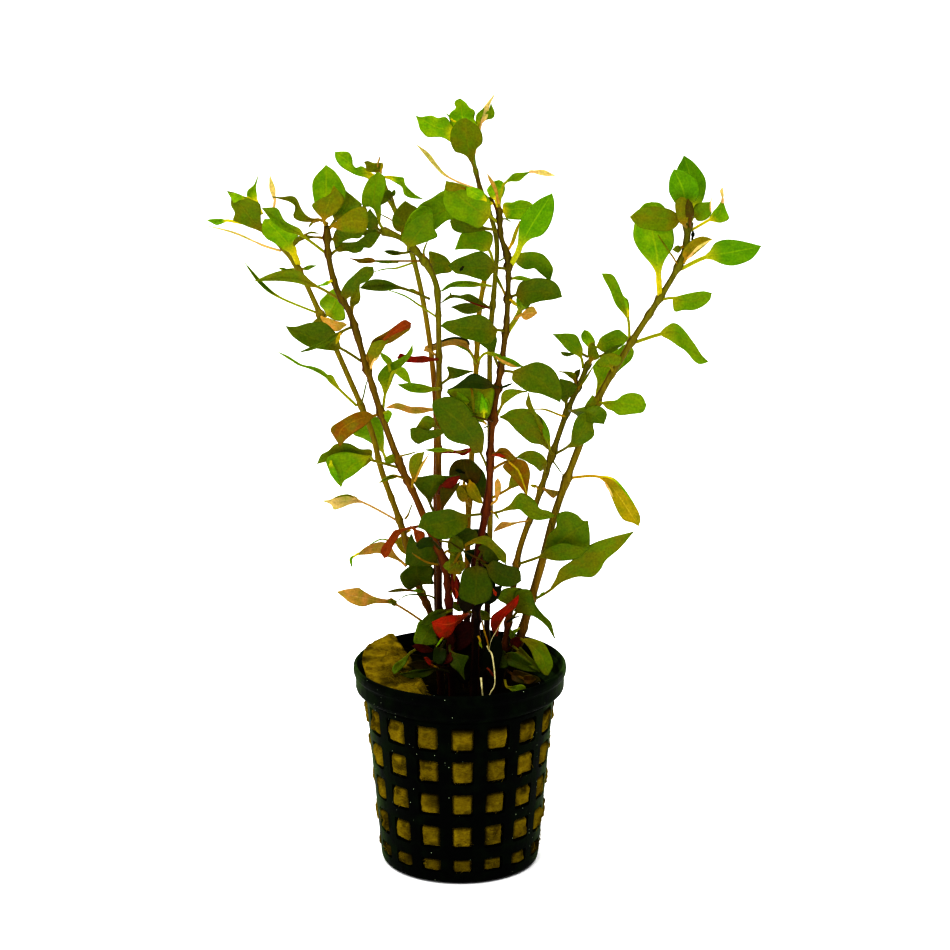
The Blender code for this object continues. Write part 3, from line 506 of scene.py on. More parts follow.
@dataclass(frozen=True)
class MouldedPolypropylene(Finish):
    """Black polypropylene, injection-moulded: a dull sheen, a sparked grain, algae and lime, and painted rim
    light.

    The mould's real grain is about a tenth of a millimetre. It is drawn three times as coarse, to show.
    """

    base: str = "#020302"
    film: str = "#0a1406"
    # Painted rim light: the greens that tint the pot's left and right sides.
    side_rim_light: str = "#0e1a06"
    edge_rim_light: str = "#34481a"
    lime: str = "#b8c8a0"
    grain_mm: float = 0.35
    bump_mm: float = 0.1
    film_mm: float = 4.0
    speck_mm: float = 0.9

    def shader(self, tree: bpy.types.NodeTree, place: bpy.types.Node) -> bpy.types.Node:
        """Adds the plastic's nodes, from noise on Object coordinates.

        Args:
            tree: the material's tree.
            place: its texture coordinates.

        Returns:
            the shader.
        """
        grain = add_node(
            tree, "TexNoise", {"Scale": 1 / (self.grain_mm * MM), "Detail": 3.0},
            {"Vector": place.outputs["Object"]},
        )
        film = add_node(
            tree, "TexNoise", {"Scale": 1 / (self.film_mm * MM), "Detail": 4.0},
            {"Vector": place.outputs["Object"]},
        )
        film_mask = add_node(tree, "MapRange", {1: 0.45, 2: 0.75, 3: 0.0, 4: 0.75}, {0: film})
        filmed = add_node(tree, "MixRGB", {1: srgb(self.base), 2: srgb(self.film)}, {0: film_mask})
        # Painted rim light: the pot's left and right sides are tinted green in patches, most at their outer
        # edges.
        level = add_node(
            tree, "VectorMath", {"operation": "MULTIPLY", 1: (1.0, 1.0, 0.0)}, {0: place.outputs["Object"]}
        )
        around = add_node(tree, "VectorMath", {"operation": "NORMALIZE"}, {0: level})
        facing = add_node(tree, "SeparateXYZ", feeds={0: around})
        aside = add_node(tree, "Math", {"operation": "ABSOLUTE"}, {0: facing.outputs["X"]})
        patchy = add_node(tree, "MapRange", {1: 0.38, 2: 0.6, 3: 0.25, 4: 1.0}, {0: film})
        for start, end, tone in ((0.55, 0.95, self.side_rim_light), (0.88, 1.0, self.edge_rim_light)):
            rim_lit = add_node(tree, "MapRange", {1: start, 2: end, 3: 0.0, 4: 0.85}, {0: aside})
            share = add_node(tree, "Math", {"operation": "MULTIPLY"}, {0: rim_lit, 1: patchy})
            filmed = add_node(tree, "MixRGB", {2: srgb(tone)}, {0: share, 1: filmed})
        # Lime has dried to a speck in the middle of one cell in ten.
        cells = add_node(
            tree, "TexVoronoi", {"Scale": 1 / (self.speck_mm * MM)}, {"Vector": place.outputs["Object"]}
        )
        near = add_node(tree, "MapRange", {1: 0.06, 2: 0.14, 3: 1.0, 4: 0.0}, {0: cells.outputs["Distance"]})
        some = add_node(tree, "SeparateColor", feeds={0: cells.outputs["Color"]})
        chosen = add_node(tree, "Math", {"operation": "GREATER_THAN", 1: 0.9}, {0: some})
        specks = add_node(tree, "Math", {"operation": "MULTIPLY"}, {0: near, 1: chosen})
        colour = add_node(tree, "MixRGB", {2: srgb(self.lime)}, {0: specks, 1: filmed})
        rough = add_node(tree, "MapRange", {1: 0.3, 2: 0.7, 3: 0.5, 4: 0.7}, {0: film})
        bump = add_node(tree, "Bump", {"Strength": 0.5, "Distance": self.bump_mm * MM}, {"Height": grain})
        return add_node(
            tree, "BsdfPrincipled", {"IOR": 1.49, "Specular IOR Level": 0.015},
            {"Base Color": colour, "Roughness": rough, "Normal": bump},
        )


@dataclass(frozen=True)
class WetRockWool(Finish):
    """Mineral fibre, spun and pressed: matted matt threads, stained olive and brown by water and algae.

    Real fibres are a few hundredths of a millimetre thick. They are drawn as coarse as the render shows.
    """

    slot: str = "rock_wool"
    light: str = "#7e7014"
    middle: str = "#625006"
    dark: str = "#3c2a02"
    clump_mm: float = 3.5
    fibre_mm: float = 0.25
    bend: float = 0.004
    bump_mm: float = 0.2

    def shader(self, tree: bpy.types.NodeTree, place: bpy.types.Node) -> bpy.types.Node:
        """Adds the wool's nodes: threads are noise stretched five times on the level, bent by coarser noise.

        Args:
            tree: the material's tree.
            place: its texture coordinates.

        Returns:
            the shader.
        """
        clumps = add_node(
            tree, "TexNoise", {"Scale": 1 / (self.clump_mm * MM), "Detail": 4.0},
            {"Vector": place.outputs["Object"]},
        )
        bent = add_node(
            tree, "MixRGB", {"blend_type": "ADD", 0: self.bend},
            {1: place.outputs["Object"], 2: clumps.outputs["Color"]},
        )
        stretch = add_node(tree, "Mapping", {"Scale": (0.2, 0.2, 1.0)}, {"Vector": bent})
        threads = add_node(
            tree, "TexNoise", {"Scale": 1 / (self.fibre_mm * MM), "Detail": 3.0}, {"Vector": stretch}
        )
        stained = add_node(tree, "MapRange", {1: 0.3, 2: 0.65, 3: 0.0, 4: 1.0}, {0: clumps})
        base = add_node(tree, "MixRGB", {1: srgb(self.dark), 2: srgb(self.middle)}, {0: stained})
        lit = add_node(tree, "MapRange", {1: 0.35, 2: 0.75, 3: 0.1, 4: 0.7}, {0: threads})
        threaded = add_node(tree, "MixRGB", {2: srgb(self.light)}, {0: lit, 1: base})
        tone = add_node(tree, "Attribute", {"attribute_name": "shade"})
        colour = add_node(tree, "HueSaturation", feeds={"Value": tone.outputs["Fac"], "Color": threaded})
        bump = add_node(tree, "Bump", {"Strength": 0.6, "Distance": self.bump_mm * MM}, {"Height": threads})
        return add_node(
            tree, "BsdfPrincipled", {"Roughness": 0.95, "Specular IOR Level": 0.0},
            {"Base Color": colour, "Normal": bump},
        )


@dataclass(frozen=True)
class RootSkin(Finish):
    """A water root's skin: cream to straw, finely mottled and matt."""

    slot: str = "white_root"
    base: str = "#c0b680"
    mottle: str = "#a49a5c"
    roughness: float = 0.6
    mottle_mm: float = 0.8
    bump_mm: float = 0.1

    def shader(self, tree: bpy.types.NodeTree, place: bpy.types.Node) -> bpy.types.Node:
        """Adds the skin's nodes: two colours with a noise between them.

        Args:
            tree: the material's tree.
            place: its texture coordinates.

        Returns:
            the shader.
        """
        noise = add_node(
            tree, "TexNoise", {"Scale": 1 / (self.mottle_mm * MM), "Detail": 3.0},
            {"Vector": place.outputs["Object"]},
        )
        mask = add_node(tree, "MapRange", {1: 0.35, 2: 0.65, 3: 0.0, 4: 1.0}, {0: noise})
        mixed = add_node(tree, "MixRGB", {1: srgb(self.base), 2: srgb(self.mottle)}, {0: mask})
        tone = add_node(tree, "Attribute", {"attribute_name": "shade"})
        colour = add_node(tree, "HueSaturation", feeds={"Value": tone.outputs["Fac"], "Color": mixed})
        bump = add_node(tree, "Bump", {"Strength": 0.4, "Distance": self.bump_mm * MM}, {"Height": noise})
        return add_node(
            tree, "BsdfPrincipled", {"Roughness": self.roughness}, {"Base Color": colour, "Normal": bump}
        )


@dataclass(frozen=True)
class Leaf:
    """One leaf: its age, each half's lean in degrees, its route, and its margins or its width in millimetres.

    The route is the base on the stem, the start of the blade, its middle and its tip, with depths counted
    from the stem. A lean turns half the blade out of the picture plane, its margin towards the viewer when it
    is positive. A margin has the pixels between the start of the blade and its tip. The cup is in degrees,
    the belly is the widest place along the blade, and the other sizes are in millimetres.
    """

    age: Age
    lean_left: float
    lean_right: float
    route: tuple[tuple[float, ...], ...]
    margins: tuple[tuple[tuple[float, ...], ...], ...] = ()
    width: float = 0.0
    # How light the leaf is beside its age's colour: partly its own tone, partly painted light and shade.
    shade: float = 1.0
    stalk: float = 0.6
    cup: float = 14.0
    belly: float = 0.43
    wave: float = 0.22
    waves: float = 2.0
    thickness: float = 0.28
    groove: float = 0.14
    vein: float = 0.06
    tip_half: float = 0.08

    def half_width(self, share: np.ndarray) -> np.ndarray:
        """Half a regular blade's width: share^a (1 - share)^b, scaled to 1 at the belly, with a least width.

        Args:
            share: places along the blade, from 0 at its start to 1 at its tip.

        Returns:
            the widths in millimetres.
        """
        rise = 0.66
        fall = rise * (1 - self.belly) / self.belly
        peak = rise / (rise + fall)
        inside = np.clip(share, 0.0, 1.0)
        form = (inside / peak) ** rise * ((1 - inside) / (1 - peak)) ** fall
        least = np.where(share < 0.5, min(self.stalk, self.width) / 2, self.tip_half)
        return np.maximum(self.width / 2 * form, least)

    def turned_half(self, side: int, rib: "Rib", way: np.ndarray) -> np.ndarray:
        """One half of a blade of a regular form: it turns by the lean and the cup on its way to the margin.

        Args:
            side: 1 for the left half and -1 for the right half.
            rib: the line that it grows from.
            way: places from the rib, 0, to the margin, 1.

        Returns:
            the half's points, a row for each station.
        """
        lean = self.lean_left if side > 0 else self.lean_right
        width = self.half_width(rib.share)
        turn = np.radians(lean + self.cup * (way[None, :] - 0.3))
        step = np.diff(way, prepend=0.0)[None, :] * width[:, None]
        out = np.cumsum(step * np.cos(turn), axis=1)[..., None] * side * rib.left[:, None, :]
        up = np.cumsum(step * np.sin(turn), axis=1)[..., None] * rib.near[:, None, :]
        return rib.centre[:, None, :] + out + up

    def margin(self, side: int, rib: "Rib") -> np.ndarray:
        """One margin of a blade of an irregular form: a smooth curve through its pixels, as deep as the rib.

        The lean then brings it forward by tan(lean) times its distance from the rib, along the line of sight,
        so that it stays on its pixels. exp(-(s/0.07)^2) of half the stalk is added on each side of the heel.

        Args:
            side: 1 for the left half and -1 for the right half.
            rib: the line that the half grows from.

        Returns:
            a point for each station.
        """
        start, tip = np.array(self.route[1][:2]), np.array(self.route[-1][:2])
        reach = [np.array([start, *one, tip], float) for one in self.margins]
        way = tip - start
        offs = [
            float(np.mean(way[0] * (one[:, 1] - start[1]) - way[1] * (one[:, 0] - start[0]))) for one in reach
        ]
        chosen = reach[int(np.argmin(offs) if side > 0 else np.argmax(offs))]
        dense = smooth_curve(chosen, np.linspace(0, len(chosen) - 1, 200))
        lengths = along_lengths(dense)
        at = rib.share * lengths[-1]
        pixels = np.stack([np.interp(at, lengths, dense[:, i]) for i in range(2)], axis=1)
        flat = VIEW.points(np.column_stack([pixels, rib.depth]))
        lean = self.lean_left if side > 0 else self.lean_right
        slope = math.tan(math.radians(lean)) * np.clip(rib.share * 6, 0, 1)
        forward = np.linalg.norm(flat - rib.centre, axis=1) * slope
        placed = VIEW.points(np.column_stack([pixels, rib.depth - forward]))
        stalk = self.stalk / 2 * np.exp(-((rib.share / 0.07) ** 2)) + 0.06
        placed = np.where(rib.in_stalk[:, None], rib.centre, placed)
        return placed + side * stalk[:, None] * rib.left

    def traced_half(self, side: int, rib: "Rib", way: np.ndarray) -> np.ndarray:
        """One half of a blade of an irregular form: straight from rib to margin, less a hollow of w (1 - w).

        Args:
            side: 1 for the left half and -1 for the right half.
            rib: the line that it grows from.
            way: places from the rib, 0, to the margin, 1.

        Returns:
            the half's points, a row for each station.
        """
        reach = self.margin(side, rib) - rib.centre
        slope = math.tan(math.radians(self.cup))
        hollow = np.linalg.norm(reach, axis=1) * slope * np.clip(rib.share * 5, 0, 1)
        sag = (hollow[:, None] * way * (1 - way))[..., None] * rib.near[:, None, :]
        return rib.centre[:, None, :] + reach[:, None, :] * way[None, :, None] - sag

    def surface(self, depth: float, slot: int = 0, stations: int = 40, rows: int = 9) -> Surface:
        """The leaf's closed skin: a thin sheet on both sides of the rib, with a round stalk.

        Its height off the sheet is a groove along the rib, -exp(-(s/0.07)^2), a ripple between side veins,
        and a sine wave that grows with the square of the way to the margin. The sheet thins to its margins.

        Args:
            depth: the stem's depth where the leaf grows from it, in millimetres.
            slot: which of the object's materials it wears.
            stations: how many places along the leaf its skin has.
            rows: how many places from the rib to a margin.

        Returns:
            the surface.
        """
        rib = Rib.along(self, depth, stations)
        way = np.linspace(0.0, 1.0, rows) ** 0.85
        half = self.traced_half if self.margins else self.turned_half
        sheet = np.concatenate([half(1, rib, way)[:, ::-1], half(-1, rib, way)[:, 1:]], axis=1)
        both = np.concatenate([way[::-1], way[1:]])
        sides = np.concatenate([np.ones(len(way)), -np.ones(len(way) - 1)])
        along = rib.share[:, None]
        blade_only = np.clip(along * 8, 0, 1)
        # The waves of the two margins are out of step, and each leaf starts its own at another place.
        phase = sides[None, :] * 0.9 + self.route[-1][0] * 0.37
        waving = self.wave * np.sin(2 * math.pi * self.waves * along + phase) * both**2 * blade_only
        sheet = sheet + waving[..., None] * rib.near[:, None, :]
        normal = unit(np.cross(np.gradient(sheet, axis=1), np.gradient(sheet, axis=0)))
        # Relief is full on a half blade of 2.2 mm or more, and less on a smaller one.
        size = min(1.0, float(np.linalg.norm(sheet - rib.centre[:, None, :], axis=2).max()) / 2.2)
        groove = -self.groove * np.exp(-((both / 0.07) ** 2)) * (1 - along * 0.7)
        ripple = np.abs(np.sin(math.pi * self.age.value.vein_pairs * (along - 0.45 * both)))
        veins = self.vein * ripple * both * (1 - both) * 4
        sheet = sheet + ((groove + veins) * size * blade_only)[..., None] * normal
        thick = self.thickness * (1 - 0.45 * both)[None, :] * np.ones((len(rib.share), 1)) / 2
        thick = thick + (self.stalk * 0.42 - thick) * np.clip(1 - rib.share * 5, 0, 1)[:, None]
        thick = thick * np.sqrt(np.clip(1 - both**6, 0.02, 1))[None, :]
        upper, lower = sheet + normal * thick[..., None], sheet - normal * thick[..., None]
        rings = np.concatenate([upper, lower[:, ::-1][:, 1:-1]], axis=1)
        v = 0.5 + sides * both / 2
        v = np.concatenate([v, v[::-1][1:-1]])
        uv = np.stack(np.broadcast_arrays(along, v[None, :]), axis=-1)
        return Surface.swept(rings[:, ::-1], uv[:, ::-1], self.shade, slot)


@dataclass(frozen=True)
class Rib:
    """A leaf's middle line: each station's place, depth, share of the blade, and ways left and near."""

    centre: np.ndarray
    depth: np.ndarray
    share: np.ndarray
    in_stalk: np.ndarray
    left: np.ndarray
    near: np.ndarray

    @staticmethod
    def along(leaf: Leaf, stem_depth: float, stations: int) -> "Rib":
        """The line of a leaf: a smooth curve through its route, with stations crowded towards heel and tip.

        A station's share of the blade is 0.65 t + 0.35 (1 - cos(pi t^0.9)) / 2. Five more are in the stalk.

        Args:
            leaf: the leaf.
            stem_depth: the stem's depth where the leaf grows from it, in millimetres.
            stations: how many places along the leaf.

        Returns:
            the line.
        """
        route = np.array(leaf.route) + (0.0, 0.0, stem_depth)
        spots = VIEW.points(route)
        in_stalk = 5
        places = np.linspace(1.0, len(spots) - 1.0, 160)
        lengths = along_lengths(smooth_curve(spots, places))
        even = np.linspace(0, 1, stations - in_stalk)
        share = (1 - np.cos(even**0.9 * math.pi)) / 2 * 0.35 + even * 0.65
        at = np.interp(share * lengths[-1], lengths, places)
        stalk = np.linspace(0.0, 1.0, in_stalk + 1)[:-1]
        at = np.concatenate([stalk, at])
        centre = smooth_curve(spots, at)
        total = along_lengths(centre)
        # Two stations may share a place: a tiny step between them keeps the slope finite.
        along = unit(np.gradient(centre, np.maximum(total, 1e-6) + np.arange(len(total)) * 1e-7, axis=0))
        left = unit(np.cross(along, unit(centre - np.array(VIEW.eye))))
        depth = smooth_curve(route, at)[:, 2]
        share = np.concatenate([np.zeros(len(stalk)), share])
        return Rib(centre, depth, share, at < 1.0, left, unit(np.cross(along, left)))


def path(text: str) -> tuple[tuple[float, ...], ...]:
    """A chain of places: numbers with commas in each place, and spaces between places."""
    return tuple(tuple(float(number) for number in place.split(",")) for place in text.split())


def leaves(table: str) -> list[Leaf]:
    """Leaves from a table: each row has an age, a lean and other fields, and after a colon the paths.

    Args:
        table: the rows, with semicolons between them. The lean is in degrees, or in two numbers with a stroke
            for the left and right half. The first path is the rib's, in pixels and millimetres of depth. The
            two margins of an irregular form follow, each after a bar, in pixels.

    Returns:
        the leaves.
    """
    made = []
    for row in table.split(";"):
        facts, paths = row.split(":")
        age, lean, *more = facts.split()
        halves = [float(half) for half in lean.split("/")]
        rib, *margins = [path(one) for one in paths.split("|")]
        fields = {name: float(value) for name, value in (one.split("=") for one in more)}
        made.append(Leaf(Age[age], halves[0], halves[-1], rib, tuple(margins), **fields))
    return made


def tube(centre: np.ndarray, radius: np.ndarray, around: int) -> tuple[np.ndarray, np.ndarray]:
    """Rings of a round tube: a circle of the radius carried along the line, which starts on its left side.

    Args:
        centre: the line's points.
        radius: the radius at each of them.
        around: how many points a ring has.

    Returns:
        the rings' points, and the angle of each point round a ring.
    """
    along = unit(np.gradient(centre, axis=0))
    side = unit(np.cross(along, np.array([0.0, 1.0, 0.0])))
    front = unit(np.cross(side, along))
    turn = np.linspace(0, 2 * math.pi, around, endpoint=False)
    rings = centre[:, None, :] + radius[:, None, None] * (
        np.cos(turn)[None, :, None] * side[:, None, :] + np.sin(turn)[None, :, None] * front[:, None, :]
    )
    return rings, turn


@dataclass(frozen=True)
class Shoot:
    """A stem with its leaves: a round tube along its route, thinner to the tip and thicker at each joint.

    Its small leaves belong to the same piece, and its large leaves are pieces of their own, as in the CAD. A
    grid is how many places a small leaf's skin has along it, and from its rib to a margin.
    """

    name: str
    radius: float
    tip_share: float
    bark: StemFinish
    route: tuple[tuple[float, ...], ...]
    planted_mm: float = 12.0
    planted_rows: float = 40.0
    rows_per_mm: float = 3.9
    step_mm: float = 0.9
    samples: int = 600
    around: int = 14
    joint_swell: float = 0.2
    joint_mm: float = 0.8
    waver: float = 0.06
    traced_grid: tuple[int, int] = (30, 6)
    regular_grid: tuple[int, int] = (20, 4)

    def depth_at(self, row: float) -> float:
        """The stem's depth where it crosses a pixel row, on straight lines between the places of its route.

        Args:
            row: the pixel row.

        Returns:
            the depth in millimetres.
        """
        for low, high in zip(self.route, self.route[1:]):
            if high[1] <= row <= low[1]:
                return low[2] + (high[2] - low[2]) * (low[1] - row) / (low[1] - high[1])
        return self.route[-1][2]

    def stem_surface(self, joints: list[float]) -> Surface:
        """The stem's closed skin: a circle carried along the route.

        The radius falls evenly to the tip, swells by exp(-(d/0.8)^2) at each joint, wavers with a slow noise,
        and is halved at the very tip.

        Args:
            joints: the pixel rows where leaves grow from it.

        Returns:
            the surface, with U up the stem and V around it.
        """
        spots = VIEW.points(np.array(self.route, float))
        spots[0, 2] = WOOL_TOP
        foot = spots[:1] - np.array([[0.0, 0.0, self.planted_mm]])
        chain = np.concatenate([foot, spots])
        places = np.linspace(0, len(chain) - 1, self.samples)
        dense = smooth_curve(chain, places)
        lengths = along_lengths(dense)
        at = np.linspace(0, lengths[-1], int(lengths[-1] / self.step_mm))
        centre = np.stack([np.interp(at, lengths, dense[:, i]) for i in range(3)], axis=1)
        share = at / lengths[-1]
        radius = self.radius * (1 + (self.tip_share - 1) * share)
        chain_rows = [self.route[0][1] + self.planted_rows] + [spot[1] for spot in self.route]
        rows = np.interp(at, lengths, np.interp(places, np.arange(len(chain)), chain_rows))
        for joint in joints:
            near = np.abs(rows - joint) / self.rows_per_mm
            radius = radius + self.joint_swell * self.radius * np.exp(-((near / self.joint_mm) ** 2))
        waver = 1 + self.waver * value_noise(centre, 3.0, 7)
        rings, turn = tube(centre, radius * waver * np.where(share > 0.995, 0.5, 1.0), self.around)
        uv = np.stack(np.broadcast_arrays(share[:, None], (turn / (2 * math.pi))[None, :]), axis=-1)
        return Surface.swept(rings, uv)

    def build(self, large: list[Leaf], small: list[Leaf], skins: dict[Age, bpy.types.Material]) -> None:
        """Builds and dresses the shoot: a piece for the stem with its small leaves, one for each large leaf.

        Args:
            large: the large leaves of this shoot, in the order of their CAD nodes.
            small: its small leaves.
            skins: each age's material.
        """
        ages = list(dict.fromkeys(one.age for one in small))
        surfaces = [self.stem_surface([one.route[0][1] for one in large + small])]
        for one in small:
            grid = self.traced_grid if one.margins else self.regular_grid
            surfaces.append(one.surface(self.depth_at(one.route[0][1]), 1 + ages.index(one.age), *grid))
        bark = self.bark.material(f"{self.name}_stem_skin")
        piece = Surface.joined(surfaces).add_object(
            f"{self.name}_stem_and_small_leaves", [bark] + [skins[age] for age in ages]
        )
        hand_over(piece, f"{self.name}_stem")
        for number, one in enumerate(large):
            blade = one.surface(self.depth_at(one.route[0][1]))
            piece = blade.add_object(f"{self.name}_blade_{number + 1}", [skins[one.age]])
            hand_over(piece, f"{self.name}_leaf_{number + 1}")


# Stem colours run from foot to tip, red-brown to olive, near-black at the foot in painted shade among the
# stems.
SHOOTS: list[Shoot] = [
    Shoot("left_rear", 0.90, 0.68, StemFinish(
        "olive_stem", ((0.15, "#2e1404"), (0.28, "#5e3a06"), (0.42, "#74600a"), (1.0, "#6c660e")),
        "#5e4206", "#5e4806"), path(
        "443,688,5 433,622,6 418,584,7 400,522,8 382,472,9 371,430,11 349,378,13 321,316,15 296,265,17 "
        "267,232,19 252,219,20")),
    Shoot("left_front", 1.00, 0.72, StemFinish(
        "dark_stem", (
            (0.12, "#1c0602"), (0.27, "#481404"), (0.45, "#6c400a"), (0.6, "#664e08"), (1.0, "#544606")),
        "#461c04", "#2a2004", 0.35, 0.7), path(
        "452,697,-3 450,630,-4 446,569,-5 434,541,-6 415,496,-7 401,467,-8 382,416,-10 365,362,-12 "
        "351,316,-13 336,287,-14 328,253,-14 327,226,-14")),
    Shoot("thin", 0.84, 0.72, StemFinish(
        "olive_stem", (
            (0.2, "#2e0a04"), (0.4, "#58300a"), (0.62, "#74480a"), (0.7, "#86690e"), (0.85, "#7f7d16")),
        "#5e3a08", "#5a4208"), path(
        "440,683,8 437,600,8 436,500,7 436,420,6 432,361,6 424,306,7 413,257,8 400,222,8 390,199,9 "
        "380,176,9")),
    Shoot("centre", 0.92, 0.72, StemFinish(
        "olive_stem", (
            (0.15, "#2a0802"), (0.26, "#260c02"), (0.36, "#4c2806"), (0.46, "#744408"), (0.6, "#765a08"),
            (0.85, "#68660c")),
        "#4a2c06", "#4e3a06"), path(
        "441,694,0 439,598,0 439,503,-1 438,426,-2 439,370,-2 438,303,-3 435,281,-3 425,262,-4 412,247,-4 "
        "399,237,-5 380,230,-5")),
    Shoot("rear_orange", 0.88, 0.72, StemFinish(
        "orange_stem", (
            (0.15, "#220a02"), (0.28, "#4a2004"), (0.38, "#7c5a0a"), (0.6, "#866c0a"), (1.0, "#8c760a")),
        "#624806", "#5e4a06"), path(
        "466,685,7 467,620,8 468,527,12 472,450,14 476,372,16 479,315,17 484,282,18 487,262,18")),
    Shoot("tall", 0.86, 0.66, StemFinish(
        "olive_stem", (
            (0.15, "#220e02"), (0.24, "#4a2a06"), (0.36, "#806c0c"), (0.5, "#746008"), (0.85, "#605e06"),
            (0.955, "#5e4c08"), (0.985, "#84a020")),
        "#3e3e04", "#464604"), path(
        "486,683,9 487,620,9 490,527,8 490,430,7 490,345,6 495,280,5 497,246,4 492,220,3 482,195,3 "
        "475,168,2 470,150,2")),
    Shoot("dark_front", 1.18, 0.48, StemFinish(
        "dark_stem", (
            (0.27, "#120602"), (0.35, "#460e04"), (0.48, "#5e2c08"), (0.6, "#643808"), (0.84, "#504606")),
        "#2e1404", "#4a2204", 0.3, 0.6), path(
        "474,700,-4 476,625,-5 477,564,-5 488.5,494,-6 491,440,-8 494.5,407,-9 498,385,-9.5 502,361,-10 "
        "507,315,-12 508,262,-13 501,236,-13 499,208,-13")),
    Shoot("right_thin", 0.94, 0.70, StemFinish(
        "dark_stem", (
            (0.15, "#160602"), (0.32, "#6c3a0a"), (0.5, "#7c620c"), (0.7, "#72640e"), (1.0, "#56560a")),
        "#4a3006", "#221c04", 0.5, 0.35), path(
        "497,692,2 505,645,3 513,590,4 520,548,4 538,498,5 552,455,6 567,412,7 580,383,8 590,360,9")),
    Shoot("right_thick", 1.22, 0.56, StemFinish(
        "olive_stem", ((0.12, "#3a1404"), (0.25, "#7a580a"), (0.4, "#74600a"), (1.0, "#60600e")),
        "#3e2e08", "#524406", 0.4), path(
        "506,688,5 523,628,4 542,562,3 556,510,1 577,452,-1 598,399,-3 627,349,-5 661,296,-7 678,267,-8 "
        "686,245,-8 688,220,-9")),
]

